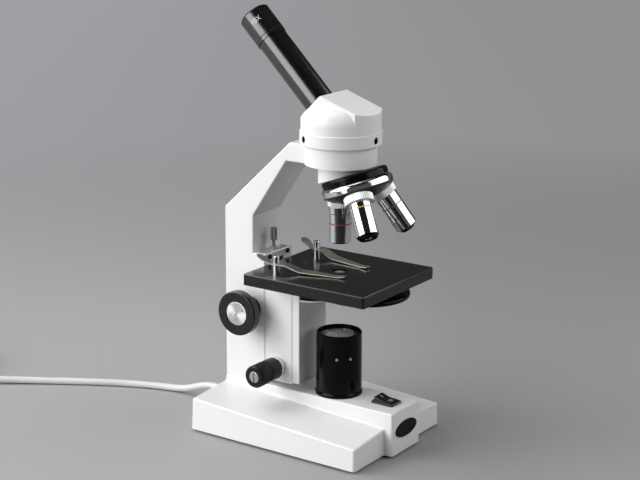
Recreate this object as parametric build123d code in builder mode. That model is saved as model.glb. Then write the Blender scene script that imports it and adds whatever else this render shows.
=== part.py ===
from build123d import *
import math
import os

# Student microscope with one eyepiece tube, a three-place nosepiece and a lamp in the base.
# Millimetres. The origin is on the table under the middle of the base, +X points to the
# switch end, +Y to the far side and +Z up. The optical axis is vertical, at y = 0.

os.makedirs("parts", exist_ok=True)

# Base
casting_bottom = 2.0
base_back = -88.5
base_front = 80.8
base_half = 67.8
base_corner = 2.5
ridge_back = -87.0
ridge_front = 88.8
ridge_half = 22.4
ridge_top = 39.1
draft_deg = 1.9
wing_crown = 30.0
wing_fall_x = 0.0533
wing_fall_y = 0.0701
base_wall = 4.2
plate_thick = 1.5
foot_x = (-70.0, 62.0)
foot_y = 50.0
foot_r = 9.0

# Optical axis, lamp and switch
axis_x = 20.3
lamp_r = 19.5
lamp_top = 94.0
switch_x = 68.4
badge_z = 21.3

# Arm
arm_half = 20.45
arm_back = -85.6
arm_front = -43.4
upper_front = -55.5
ledge_z = 155.0
boss_r = 30.5
light_bore_r = 9.0
spigot_bore_r = 18.5
boss_bottom = 240.0
boss_top = 256.7
spigot_r = 25.0
spigot_top = 264.0

# Coarse focus
coarse_x = -58.0
coarse_z = 105.4
gear_module = 0.7
gear_teeth = 12
gear_backlash = 0.16
bar_low = 60.0
bar_high = 132.0
coarse_up = 14.0

# Fine focus
fine_x = -30.5
fine_z = 57.0
wedge_slope = 0.2
wedge_top = 66.0

# Sliding block and front plate
block_back = -43.1
block_front = -14.8
block_low = 44.0
block_high = 135.0
plate_back = -14.5
plate_front = -7.2

# Stage
stage_x = 19.5
stage_long = 120.0
stage_wide = 110.0
stage_low = 137.5
stage_top = 147.2
clip_x = -24.0
clip_y = 30.0
clip_turn = 11.6
disc_x = 45.9
disc_r = 37.8
disc_low = 130.7
disc_thick = 3.2

# Head, tube and eyepiece
collar_r = 34.4
collar_low = 257.0
collar_high = 268.3
head_r = 33.5
head_half = 20.2
head_ridge_x = 12.3
head_ridge_z = 298.2
head_front_z = 284.1
tube_foot_x = 1.0
tube_foot_z = 286.9
tube_r = 12.8
tube_bore = 11.65
tube_length = 71.0
eyepiece_r = 13.6
eyepiece_length = 27.5

# Nosepiece: the three objective axes meet the turret axis at one point, the apex
apex_z = 268.0
turret_tilt = 20.0
mount_r = 18.9
turret_r = 30.5
seat_s = 59.5

# Mains lead
cord_d = 6.2
coil_turn_gap = 8.0
coil_layer_gap = 7.1
coil_inner_r = 22.5
coil_low_z = 4.6
coil_half_turns_in = 6
coil_half_turns_out = 5
coil_lead_in = 21.0
cord_tail = 28.0

running = 0.05
gap = 0.3


def knurl_points(radius, depth, count):
    """Corners of a fine-toothed round outline, out and in by turns."""
    corners = []
    for step in range(2 * count):
        angle = math.pi * step / count
        reach = radius - depth * (step % 2)
        corners.append((reach * math.cos(angle), reach * math.sin(angle)))
    return corners


def along(direction, distance, start=(0, 0, 0)):
    """The point that lies a distance along a direction from a start."""
    return Vector(*start) + Vector(*direction) * distance


def dome_middle(rim_r, rise):
    """Half-way point of a dome's arc: its distance from the axis and its drop below the top."""
    ball_r = (rim_r ** 2 + rise ** 2) / (2 * rise)
    half = math.asin(min(1.0, rim_r / ball_r)) / 2
    return ball_r * math.sin(half), ball_r * (1 - math.cos(half))


# Base casting: two sloping wings and a raised middle ridge, hollow from below
base_length = base_front - base_back
base_mid = (base_front + base_back) / 2
ridge_length = ridge_front - ridge_back
ridge_mid = (ridge_front + ridge_back) / 2
wing_cavity_top = 17.0
ridge_roof = 34.6
post_r = 5.0
nose_round = 2.2
foot_spots = [(x, y) for x in foot_x for y in (-foot_y, foot_y)]
arm_bolt_x = (-71.0, -54.0)
gland_z = 15.0
with BuildPart() as base_casting:
    with BuildSketch(Plane.XY.offset(casting_bottom)):
        with Locations((base_mid, 0)):
            RectangleRounded(base_length, 2 * base_half, base_corner)
    extrude(amount=ridge_top, taper=draft_deg)
    for side in (1, -1):
        wing_plane = Plane(origin=(0, 0, wing_crown), z_dir=(wing_fall_x, side * wing_fall_y, 1))
        split(bisect_by=wing_plane, keep=Keep.BOTTOM)
    wing_tops = base_casting.faces().filter_by(lambda face: face.normal_at().Z > 0.9)
    wing_rims = wing_tops.edges().filter_by(lambda edge: abs(edge.center().Y) > 1)
    fillet(wing_rims, 1.6)
    with BuildSketch(Plane.XY.offset(casting_bottom)):
        with Locations((ridge_mid, 0)):
            RectangleRounded(ridge_length, 2 * ridge_half, base_corner)
    extrude(amount=ridge_top - casting_bottom, taper=draft_deg)
    fillet(base_casting.faces().sort_by(Axis.Z)[-1].edges(), 1.5)
    nose_corners = base_casting.edges().filter_by(
        lambda edge: abs(edge.center().X - base_front) < 3
        and abs(abs(edge.center().Y) - ridge_half) < 1.5
        and edge.bounding_box().size.Z > 15
    )
    fillet(nose_corners, nose_round)
    with BuildSketch(Plane.XY.offset(casting_bottom)):
        with Locations((base_mid, 0)):
            Rectangle(base_length - 2 * base_wall, 2 * (base_half - base_wall))
    extrude(amount=wing_cavity_top - casting_bottom, mode=Mode.SUBTRACT)
    with BuildSketch(Plane.XY.offset(casting_bottom)):
        with Locations((ridge_mid, 0)):
            Rectangle(ridge_length - 2 * base_wall - 4, 2 * (ridge_half - base_wall))
    extrude(amount=ridge_roof - casting_bottom, mode=Mode.SUBTRACT)
    with BuildSketch(Plane.XY.offset(casting_bottom + plate_thick)):
        with Locations(*foot_spots):
            Circle(post_r)
    extrude(amount=wing_cavity_top - casting_bottom)
    with BuildSketch(Plane.XY.offset(casting_bottom + plate_thick)):
        with Locations(*foot_spots):
            Circle(1.9)
    extrude(amount=12, mode=Mode.SUBTRACT)
    with BuildSketch(Plane.XY.offset(ridge_roof - 1)):
        with Locations((axis_x, 0)):
            Circle(8)
        with Locations((switch_x, 0)):
            Rectangle(19.2, 13.2)
        with Locations(*[(x, 0) for x in arm_bolt_x]):
            Circle(4.2)
    extrude(amount=10, mode=Mode.SUBTRACT)
    with BuildSketch(Plane.YZ.offset(base_back - 1)):
        with Locations((0, gland_z)):
            Circle(5.1)
    extrude(amount=12, mode=Mode.SUBTRACT)
base_casting.part.label = "base_casting"
export_step(base_casting.part, "parts/base_casting.step")

# Sheet cover of the underside, with a nose that follows the ridge
plate_nose = 14.0
plate_nose_x = ridge_front - base_wall - 2 - gap
with BuildPart() as bottom_plate:
    with BuildSketch(Plane.XY.offset(casting_bottom)):
        with Locations((base_mid, 0)):
            Rectangle(base_length - 2 * base_wall - 2 * gap, 2 * (base_half - base_wall - gap))
        with Locations((plate_nose_x - plate_nose / 2, 0)):
            Rectangle(plate_nose, 2 * (ridge_half - base_wall - gap))
        with Locations(*foot_spots):
            Circle(2.1, mode=Mode.SUBTRACT)
    extrude(amount=plate_thick)
bottom_plate.part.label = "bottom_plate"
export_step(bottom_plate.part, "parts/bottom_plate.step")

# Four rubber feet, each with a sunk screw into a post of the casting
with BuildPart() as rubber_feet:
    with BuildSketch():
        with Locations(*foot_spots):
            Circle(foot_r)
    extrude(amount=casting_bottom)
    chamfer(rubber_feet.edges().group_by(Axis.Z)[0], 0.5)
    with BuildSketch():
        with Locations(*foot_spots):
            Circle(2.1)
    extrude(amount=casting_bottom, mode=Mode.SUBTRACT)
    with BuildSketch():
        with Locations(*foot_spots):
            Circle(4.2)
    extrude(amount=1.2, mode=Mode.SUBTRACT)
rubber_feet.part.label = "rubber_feet"
export_step(rubber_feet.part, "parts/rubber_feet.step")

with BuildPart() as foot_screws:
    with BuildSketch(Plane.XY.offset(0.4)):
        with Locations(*foot_spots):
            Circle(3.8)
    extrude(amount=0.8)
    with BuildSketch(Plane.XY.offset(1.2)):
        with Locations(*foot_spots):
            Circle(1.8)
    extrude(amount=12)
foot_screws.part.label = "foot_screws"
export_step(foot_screws.part, "parts/foot_screws.step")

# Plain oval plate on the front end of the ridge
badge_face_x = ridge_front - (badge_z - casting_bottom) * math.tan(math.radians(draft_deg))
with BuildPart() as badge_plate:
    tilt = math.radians(draft_deg)
    badge_plane = Plane(
        origin=(badge_face_x, 0, badge_z),
        x_dir=(0, 1, 0),
        z_dir=(math.cos(tilt), 0, math.sin(tilt)),
    )
    with BuildSketch(badge_plane):
        Ellipse(16.6, 7.0)
    extrude(amount=0.9)
    fillet(badge_plate.faces().sort_by(Axis.X)[-1].edges(), 0.4)
badge_plate.part.label = "badge_plate"
export_step(badge_plate.part, "parts/badge_plate.step")

# Arm casting: a C-shaped column with a round boss at the top, and a dovetail way in its front
way_low = 50.0
arm_round = 1.3
bush_r = 6.0
arm_bolt_r = 3.8
cap_low = 149.0
cap_half = 17.0
bar_back = -49.9
bar_front_half = 7.0
bar_flare = 0.56
way_gap = 0.35
way_back = bar_back - 0.5
rack_pocket_half = 8.0
rack_pocket_back = -64.5


def bar_half(x):
    """Half width of the dovetail bar at a given x."""
    return bar_front_half + (block_back - x) * bar_flare


with BuildPart() as arm_casting:
    with BuildSketch(Plane.XZ):
        with BuildLine():
            Polyline(
                (arm_back, ridge_top),
                (arm_back, 192.3),
                (-17.6, boss_top - 0.5),
                (axis_x, boss_top - 0.5),
                (axis_x, boss_bottom),
                (-21.0, boss_bottom),
                (upper_front, 188.0),
                (upper_front, ledge_z),
                (arm_front, ledge_z),
                (arm_front, ridge_top),
                close=True,
            )
        make_face()
    extrude(amount=arm_half, both=True)
    side_edges = arm_casting.faces().filter_by(Axis.Y).edges()
    high_edges = side_edges.filter_by(lambda edge: edge.center().Z > ridge_top + 1)
    fillet(high_edges.filter_by(lambda edge: edge.center().X < axis_x - 1), arm_round)
    with BuildSketch(Plane.XY.offset(boss_bottom)):
        with Locations((axis_x, 0)):
            Circle(boss_r)
    extrude(amount=boss_top - boss_bottom)
    with BuildSketch(Plane.XY.offset(boss_top)):
        with Locations((axis_x, 0)):
            Circle(spigot_r)
    extrude(amount=spigot_top - boss_top)
    with BuildSketch(Plane.XY.offset(boss_bottom)):
        with Locations((axis_x, 0)):
            Circle(light_bore_r)
    extrude(amount=12, mode=Mode.SUBTRACT)
    with BuildSketch(Plane.XY.offset(boss_bottom + 10)):
        with Locations((axis_x, 0)):
            Circle(spigot_bore_r)
    extrude(amount=20, mode=Mode.SUBTRACT)
    with BuildSketch(Plane.XY.offset(way_low)):
        with BuildLine():
            front_half = bar_half(arm_front) + way_gap
            back_half = bar_half(way_back) + way_gap
            Polyline(
                (arm_front, front_half),
                (way_back, back_half),
                (way_back, -back_half),
                (arm_front, -front_half),
                close=True,
            )
        make_face()
    extrude(amount=ledge_z - way_low, mode=Mode.SUBTRACT)
    with BuildSketch(Plane.XY.offset(way_low)):
        with Locations(((way_back + rack_pocket_back) / 2, 0)):
            Rectangle(way_back - rack_pocket_back, 2 * rack_pocket_half)
    extrude(amount=cap_low - way_low, mode=Mode.SUBTRACT)
    with BuildSketch(Plane.XY.offset(cap_low)):
        with Locations(((upper_front + arm_front) / 2, 0)):
            Rectangle(arm_front - upper_front, 2 * cap_half)
    extrude(amount=ledge_z - cap_low, mode=Mode.SUBTRACT)
    with BuildSketch(Plane.XZ.offset(-arm_half)):
        with Locations((coarse_x, coarse_z)):
            Circle(bush_r)
    extrude(amount=2 * arm_half, mode=Mode.SUBTRACT)
    with BuildSketch(Plane.XY.offset(ridge_top)):
        with Locations(*[(x, 0) for x in arm_bolt_x]):
            Circle(arm_bolt_r + 0.1)
    extrude(amount=9, mode=Mode.SUBTRACT)
arm_casting.part.label = "arm_casting"
export_step(arm_casting.part, "parts/arm_casting.step")

# Two bolts up through the roof of the ridge into the foot of the arm
with BuildPart() as arm_bolts:
    with BuildSketch(Plane.XY.offset(ridge_roof - 5.5)):
        with Locations(*[(x, 0) for x in arm_bolt_x]):
            RegularPolygon(7.5, 6)
    extrude(amount=5.5)
    with BuildSketch(Plane.XY.offset(ridge_roof)):
        with Locations(*[(x, 0) for x in arm_bolt_x]):
            Circle(arm_bolt_r)
    extrude(amount=12)
arm_bolts.part.label = "arm_bolts"
export_step(arm_bolts.part, "parts/arm_bolts.step")

# Cap that closes the top of the dovetail way, with two black screws in its front
cap_screw_y = 13.0
cap_screw_z = 152.0
cap_screw_r = 2.0
stop_x = -48.5
stop_r = 1.5
stop_head_r = 2.9
stop_nut_r = 3.7
with BuildPart() as slide_cap:
    with BuildSketch(Plane.XY.offset(cap_low)):
        with Locations(((upper_front + arm_front) / 2, 0)):
            Rectangle(arm_front - upper_front - 0.1, 2 * cap_half - 0.1)
    extrude(amount=ledge_z - cap_low)
    chamfer(slide_cap.edges().filter_by(Axis.Y).group_by(Axis.Z)[-1], 0.6)
    with BuildSketch(Plane.XY.offset(cap_low)):
        with Locations((stop_x, 0)):
            Circle(stop_r + 0.1)
    extrude(amount=10, mode=Mode.SUBTRACT)
    with BuildSketch(Plane.YZ.offset(arm_front - 6)):
        with Locations((-cap_screw_y, cap_screw_z), (cap_screw_y, cap_screw_z)):
            Circle(1.5)
    extrude(amount=8, mode=Mode.SUBTRACT)
slide_cap.part.label = "slide_cap"
export_step(slide_cap.part, "parts/slide_cap.step")

with BuildPart() as slide_cap_screws:
    with BuildSketch(Plane.YZ.offset(arm_front - 5.5)):
        with Locations((-cap_screw_y, cap_screw_z), (cap_screw_y, cap_screw_z)):
            Circle(1.4)
    extrude(amount=5.5)
    with BuildSketch(Plane.YZ.offset(arm_front)):
        with Locations((-cap_screw_y, cap_screw_z), (cap_screw_y, cap_screw_z)):
            Circle(cap_screw_r)
    extrude(amount=1.5)
    fillet(slide_cap_screws.faces().sort_by(Axis.X)[-2:].edges(), 0.5)
slide_cap_screws.part.label = "slide_cap_screws"
export_step(slide_cap_screws.part, "parts/slide_cap_screws.step")

# Stop screw over the rack bar, with its knurled head and lock nut
stop_foot = bar_high + coarse_up + 0.4
stop_head_low = 163.6
stop_head_high = 174.4
with BuildPart() as stop_screw:
    with BuildSketch(Plane.XY.offset(stop_foot)):
        with Locations((stop_x, 0)):
            Circle(stop_r)
    extrude(amount=stop_head_low - stop_foot)
    with BuildSketch(Plane(origin=(stop_x, 0, stop_head_low))):
        with BuildLine():
            Polyline(*knurl_points(stop_head_r, 0.25, 24), close=True)
        make_face()
    extrude(amount=stop_head_high - stop_head_low)
stop_screw.part.label = "stop_screw"
export_step(stop_screw.part, "parts/stop_screw.step")

with BuildPart() as stop_nut:
    with BuildSketch(Plane.XY.offset(ledge_z)):
        with Locations((stop_x, 0)):
            RegularPolygon(stop_nut_r, 6)
            Circle(stop_r + 0.1, mode=Mode.SUBTRACT)
    extrude(amount=2.6)
stop_nut.part.label = "stop_nut"
export_step(stop_nut.part, "parts/stop_nut.step")

# Dovetail bar with the rack on its back, fixed to the sliding block
pitch_r = gear_module * gear_teeth / 2
rack_pitch_x = coarse_x + pitch_r
addendum = 0.9 * gear_module
dedendum = 1.25 * gear_module
tooth_pitch = math.pi * gear_module
pressure = math.radians(20)
rack_half = 4.0


def rack_outline():
    """Toothed edge of the rack from low to high, with a gap at the height of the pinion."""
    root_x = rack_pitch_x + dedendum
    tip_x = rack_pitch_x - addendum
    half_mid = tooth_pitch / 4 - gear_backlash / 2
    half_root = half_mid + dedendum * math.tan(pressure)
    half_tip = half_mid - addendum * math.tan(pressure)
    first = math.ceil((bar_low + half_root - coarse_z) / tooth_pitch - 0.5)
    last = math.floor((bar_high - half_root - coarse_z) / tooth_pitch - 0.5)
    edge = [(bar_back, bar_low), (root_x, bar_low)]
    for count in range(first, last + 1):
        middle = coarse_z + (count + 0.5) * tooth_pitch
        edge.append((root_x, middle - half_root))
        edge.append((tip_x, middle - half_tip))
        edge.append((tip_x, middle + half_tip))
        edge.append((root_x, middle + half_root))
    edge.append((root_x, bar_high))
    edge.append((bar_back, bar_high))
    return edge


with BuildPart() as coarse_rack:
    with BuildSketch(Plane.XY.offset(bar_low)):
        with BuildLine():
            Polyline(
                (block_back, bar_half(block_back)),
                (bar_back, bar_half(bar_back)),
                (bar_back, -bar_half(bar_back)),
                (block_back, -bar_half(block_back)),
                close=True,
            )
        make_face()
    extrude(amount=bar_high - bar_low)
    with BuildSketch(Plane.XZ):
        with BuildLine():
            Polyline(*rack_outline(), close=True)
        make_face()
    extrude(amount=rack_half, both=True)
coarse_rack.part.label = "coarse_rack"
export_step(coarse_rack.part, "parts/coarse_rack.step")

# Pinion shaft across the arm, in two bushes
shaft_r = 3.0
knob_face_y = 42.0
knob_rim = 8.0
knob_r = 19.5
knob_round = 1.2
knob_hub_r = 10.5
knob_hub_end = arm_half + 0.4
pinion_half = 6.5


def pinion_outline():
    """Involute teeth of the pinion, one of them pointing straight at the rack."""
    base_r = pitch_r * math.cos(pressure)
    tip_r = pitch_r + addendum
    root_r = pitch_r - dedendum
    involute_at_pitch = math.tan(pressure) - pressure
    half_at_pitch = (tooth_pitch / 4 - gear_backlash / 2) / pitch_r
    start_r = max(base_r, root_r)
    flank = []
    for step in range(5):
        reach = start_r + (tip_r - start_r) * step / 4
        roll = math.acos(base_r / reach)
        half = half_at_pitch + involute_at_pitch - (math.tan(roll) - roll)
        flank.append((reach, half))
    corners = []
    for tooth in range(gear_teeth):
        middle = 2 * math.pi * tooth / gear_teeth
        rising = [(root_r, -flank[0][1])] + [(reach, -half) for reach, half in flank]
        falling = [(reach, half) for reach, half in reversed(flank)] + [(root_r, flank[0][1])]
        for reach, turn in rising + falling:
            corners.append((reach * math.cos(middle + turn), reach * math.sin(middle + turn)))
    return corners


coarse_plane = Plane(origin=(coarse_x, 0, coarse_z), x_dir=(1, 0, 0), z_dir=(0, -1, 0))
with BuildPart() as pinion_shaft:
    with BuildSketch(coarse_plane):
        with BuildLine():
            Polyline(*pinion_outline(), close=True)
        make_face()
    extrude(amount=pinion_half, both=True)
    with BuildSketch(coarse_plane):
        Circle(shaft_r)
    extrude(amount=knob_face_y - 3, both=True)
pinion_shaft.part.label = "pinion_shaft"
export_step(pinion_shaft.part, "parts/pinion_shaft.step")

with BuildPart() as pinion_bushes:
    with BuildSketch(coarse_plane.offset(rack_pocket_half)):
        Circle(bush_r)
        Circle(shaft_r + running, mode=Mode.SUBTRACT)
    extrude(amount=arm_half - rack_pocket_half)
    mirror(about=Plane.XZ)
pinion_bushes.part.label = "pinion_bushes"
export_step(pinion_bushes.part, "parts/pinion_bushes.step")

# Coarse knobs: a smooth rim on a narrower hub, with a turned metal cap in the face
cap_recess_r = 10.6
cap_pin_r = 1.0
cap_pin_reach = 7.4
cap_pin_turn = 26.0
cap_mark_r = 1.2
cap_hole_deep = 0.8
with BuildPart() as coarse_knobs:
    with BuildSketch(coarse_plane.offset(knob_face_y - knob_rim)):
        Circle(knob_r)
    extrude(amount=knob_rim)
    fillet(coarse_knobs.edges().filter_by(GeomType.CIRCLE), knob_round)
    with BuildSketch(coarse_plane.offset(knob_hub_end)):
        Circle(knob_hub_r)
    extrude(amount=knob_face_y - knob_hub_end - 1)
    with BuildSketch(coarse_plane.offset(knob_face_y - 1.6)):
        Circle(cap_recess_r)
    extrude(amount=2, mode=Mode.SUBTRACT)
    with BuildSketch(coarse_plane.offset(knob_hub_end - 1)):
        Circle(shaft_r)
    extrude(amount=knob_face_y - 3 - knob_hub_end + 1, mode=Mode.SUBTRACT)
    mirror(about=Plane.XZ)
coarse_knobs.part.label = "coarse_knobs"
export_step(coarse_knobs.part, "parts/coarse_knobs.step")

with BuildPart() as coarse_caps:
    with BuildSketch(coarse_plane.offset(knob_face_y - 1.6)):
        Circle(cap_recess_r - 0.1)
    extrude(amount=1.3)
    fillet(coarse_caps.faces().sort_by(Axis.Y)[0].edges(), 0.4)
    with BuildSketch(coarse_plane.offset(knob_face_y - 0.3 - cap_hole_deep)):
        with PolarLocations(cap_pin_reach, 2, start_angle=cap_pin_turn):
            Circle(cap_pin_r)
        Circle(cap_mark_r)
    extrude(amount=cap_hole_deep, mode=Mode.SUBTRACT)
    mirror(about=Plane.XZ)
coarse_caps.part.label = "coarse_caps"
export_step(coarse_caps.part, "parts/coarse_caps.step")

# Sliding block: a hollow casting, open at the front
block_wall = 4.0
with BuildPart() as coarse_block:
    with BuildSketch(Plane.XY.offset(block_low)):
        with Locations(((block_back + block_front) / 2, 0)):
            Rectangle(block_front - block_back, 2 * arm_half)
    extrude(amount=block_high - block_low)
    fillet(coarse_block.edges().filter_by(Axis.Z), 0.8)
    with BuildSketch(Plane.XY.offset(block_low + block_wall)):
        with Locations(((block_back + block_wall + block_front + 1) / 2, 0)):
            Rectangle(block_front + 1 - block_back - block_wall, 2 * (arm_half - block_wall))
    extrude(amount=block_high - block_low - 2 * block_wall, mode=Mode.SUBTRACT)
    with BuildSketch(Plane.XZ.offset(-arm_half)):
        with Locations((fine_x, fine_z)):
            Circle(6)
    extrude(amount=2 * arm_half, mode=Mode.SUBTRACT)
coarse_block.part.label = "coarse_block"
export_step(coarse_block.part, "parts/coarse_block.step")

# Fine focus shaft with its sleeves, knobs and the wedge nut that it drives
fine_plane = Plane(origin=(fine_x, 0, fine_z), x_dir=(1, 0, 0), z_dir=(0, -1, 0))
fine_shaft_r = 4.0
thread_r = 4.5
sleeve_r = 9.2
sleeve_out = 5.0
fine_knob_r = 9.75
fine_knob_in = arm_half + sleeve_out + 0.5
fine_knob_out = 54.0
fine_groove = 38.5
with BuildPart() as fine_sleeves:
    with BuildSketch(fine_plane.offset(arm_half)):
        Circle(sleeve_r)
    extrude(amount=sleeve_out)
    chamfer(fine_sleeves.faces().sort_by(Axis.Y)[0].edges(), 0.8)
    with BuildSketch(fine_plane.offset(arm_half - block_wall)):
        Circle(6)
    extrude(amount=block_wall)
    with BuildSketch(fine_plane.offset(arm_half - block_wall)):
        Circle(fine_shaft_r + running)
    extrude(amount=block_wall + sleeve_out, mode=Mode.SUBTRACT)
    mirror(about=Plane.XZ)
fine_sleeves.part.label = "fine_sleeves"
export_step(fine_sleeves.part, "parts/fine_sleeves.step")

with BuildPart() as fine_shaft:
    with BuildSketch(fine_plane):
        Circle(thread_r)
    extrude(amount=arm_half - block_wall - 0.6, both=True)
    with BuildSketch(fine_plane):
        Circle(fine_shaft_r)
    extrude(amount=fine_knob_out - 6, both=True)
fine_shaft.part.label = "fine_shaft"
export_step(fine_shaft.part, "parts/fine_shaft.step")

with BuildPart() as fine_knobs:
    with BuildSketch(fine_plane.offset(fine_groove + 0.5)):
        with BuildLine():
            Polyline(*knurl_points(fine_knob_r, 0.25, 60), close=True)
        make_face()
    extrude(amount=fine_knob_out - fine_groove - 0.5)
    with BuildSketch(Plane(origin=(fine_x, 0, fine_z), x_dir=(1, 0, 0), z_dir=(0, 0, 1))):
        with BuildLine():
            Polyline(
                (0, -fine_knob_out),
                (fine_knob_r - 1.2, -fine_knob_out),
                (fine_knob_r, -fine_knob_out + 1.2),
                (fine_knob_r, -fine_groove - 0.5),
                (0, -fine_groove - 0.5),
                close=True,
            )
        make_face()
    revolve(axis=Axis((fine_x, 0, fine_z), (0, 1, 0)), mode=Mode.INTERSECT)
    with BuildSketch(fine_plane.offset(fine_groove - 0.5)):
        Circle(fine_knob_r - 0.9)
    extrude(amount=1)
    with BuildSketch(fine_plane.offset(fine_knob_in)):
        Circle(fine_knob_r - 0.1)
    extrude(amount=fine_groove - 0.5 - fine_knob_in)
    with BuildSketch(fine_plane.offset(fine_knob_in)):
        Circle(fine_shaft_r)
    extrude(amount=fine_knob_out - 6 - fine_knob_in, mode=Mode.SUBTRACT)
    with BuildSketch(fine_plane.offset(fine_knob_out - 2.0)):
        Circle(5.2)
    extrude(amount=3, mode=Mode.SUBTRACT)
    with BuildSketch(fine_plane.offset(fine_knob_out - 6)):
        Circle(2.1)
    extrude(amount=6, mode=Mode.SUBTRACT)
    mirror(about=Plane.XZ)
fine_knobs.part.label = "fine_knobs"
export_step(fine_knobs.part, "parts/fine_knobs.step")

# Slotted screws that hold the fine knobs
with BuildPart() as fine_knob_screws:
    with BuildSketch(fine_plane.offset(fine_knob_out - 6)):
        Circle(2.0)
    extrude(amount=4)
    with BuildSketch(fine_plane.offset(fine_knob_out - 2)):
        Circle(4.9)
    extrude(amount=2.2)
    fillet(fine_knob_screws.faces().sort_by(Axis.Y)[0].edges(), 0.5)
    with BuildSketch(fine_plane.offset(fine_knob_out - 0.9)):
        Rectangle(1.2, 12)
    extrude(amount=2, mode=Mode.SUBTRACT)
    mirror(about=Plane.XZ)
fine_knob_screws.part.label = "fine_knob_screws"
export_step(fine_knob_screws.part, "parts/fine_knob_screws.step")

wedge_half_y = 8.0
wedge_x_half = 6.5
with BuildPart() as wedge_nut:
    with BuildSketch(Plane.YZ.offset(fine_x - wedge_x_half)):
        with BuildLine():
            Polyline(
                (-wedge_half_y, fine_z - 6.5),
                (wedge_half_y, fine_z - 6.5),
                (wedge_half_y, wedge_top + wedge_slope * wedge_half_y),
                (-wedge_half_y, wedge_top - wedge_slope * wedge_half_y),
                close=True,
            )
        make_face()
    extrude(amount=2 * wedge_x_half)
    with BuildSketch(fine_plane):
        Circle(thread_r + running)
    extrude(amount=wedge_half_y + 1, both=True, mode=Mode.SUBTRACT)
wedge_nut.part.label = "wedge_nut"
export_step(wedge_nut.part, "parts/wedge_nut.step")

# Front plate: carries the stage on a pad and a half-round shelf, and rides on the wedge by a lug
# that reaches back over it
plate_low = 45.4
plate_high = 137.2
lug_half = 5.0
lug_gap = 0.35
guide_half = arm_half - block_wall - 0.25
bracket_r = 19.0
bracket_low = 121.0
pad_half = 13.5
pad_low = 103.2
pad_thick = 0.5
shelf_thick = 1.2
stage_screw_spots = [(0.0, -11.0), (0.0, 11.0)]
stage_screw_head_r = 3.6
with BuildPart() as front_plate:
    with BuildSketch(Plane.XY.offset(plate_low)):
        with Locations(((plate_back + plate_front) / 2, 0)):
            Rectangle(plate_front - plate_back, 2 * arm_half)
    extrude(amount=plate_high - plate_low)
    fillet(front_plate.edges().filter_by(Axis.Z), 0.8)
    with BuildSketch(Plane.YZ.offset(fine_x - wedge_x_half)):
        with BuildLine():
            Polyline(
                (-lug_half, wedge_top + lug_gap - wedge_slope * lug_half),
                (lug_half, wedge_top + lug_gap + wedge_slope * lug_half),
                (lug_half, wedge_top + 10),
                (-lug_half, wedge_top + 10),
                close=True,
            )
        make_face()
    extrude(amount=plate_back - fine_x + wedge_x_half)
    with BuildSketch(Plane.XY.offset(85)):
        with Locations((plate_back - 4, guide_half - 1.5), (plate_back - 4, 1.5 - guide_half)):
            Rectangle(8, 3)
    extrude(amount=38)
    with BuildSketch(Plane.YZ.offset(plate_front - 1)):
        with Locations((0, (pad_low + bracket_low) / 2)):
            Rectangle(2 * pad_half, bracket_low - pad_low)
    extrude(amount=pad_thick + 1)
    with BuildSketch(Plane.XY.offset(bracket_low - shelf_thick)):
        with Locations((plate_front, 0)):
            Circle(bracket_r + 0.3)
        with Locations((plate_front + bracket_r / 2, 0)):
            Rectangle(bracket_r + 1, 3 * bracket_r, mode=Mode.INTERSECT)
        with Locations(*stage_screw_spots):
            Circle(stage_screw_head_r + 0.6, mode=Mode.SUBTRACT)
    extrude(amount=shelf_thick)
front_plate.part.label = "front_plate"
export_step(front_plate.part, "parts/front_plate.step")

# Half-round bracket between the front plate's shelf and the stage
bracket_step = 129.8
bracket_neck = 7.3
stage_screw_head = 3.0
with BuildPart() as stage_bracket:
    with BuildSketch(Plane.XY.offset(bracket_low)):
        with Locations((plate_front, 0)):
            Circle(bracket_r)
    extrude(amount=stage_low - bracket_low)
    split(bisect_by=Plane.YZ.offset(plate_front), keep=Keep.TOP)
    with BuildSketch(Plane.XY.offset(bracket_step)):
        with Locations((bracket_neck + bracket_r / 2, 0)):
            Rectangle(bracket_r, 2 * bracket_r)
    extrude(amount=stage_low - bracket_step, mode=Mode.SUBTRACT)
    with BuildSketch(Plane.XY.offset(bracket_low)):
        with Locations(*stage_screw_spots):
            Circle(2.1)
    extrude(amount=stage_low - bracket_low, mode=Mode.SUBTRACT)
    with BuildSketch(Plane.XY.offset(bracket_low)):
        with Locations(*stage_screw_spots):
            Circle(stage_screw_head_r + 0.2)
    extrude(amount=stage_screw_head, mode=Mode.SUBTRACT)
stage_bracket.part.label = "stage_bracket"
export_step(stage_bracket.part, "parts/stage_bracket.step")

with BuildPart() as stage_screws:
    with BuildSketch(Plane.XY.offset(bracket_low + 0.3)):
        with Locations(*stage_screw_spots):
            Circle(stage_screw_head_r)
    extrude(amount=stage_screw_head - 0.3)
    with BuildSketch(Plane.XY.offset(bracket_low + stage_screw_head)):
        with Locations(*stage_screw_spots):
            Circle(2.0)
    extrude(amount=stage_low - bracket_low - stage_screw_head + 5)
stage_screws.part.label = "stage_screws"
export_step(stage_screws.part, "parts/stage_screws.step")

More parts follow.
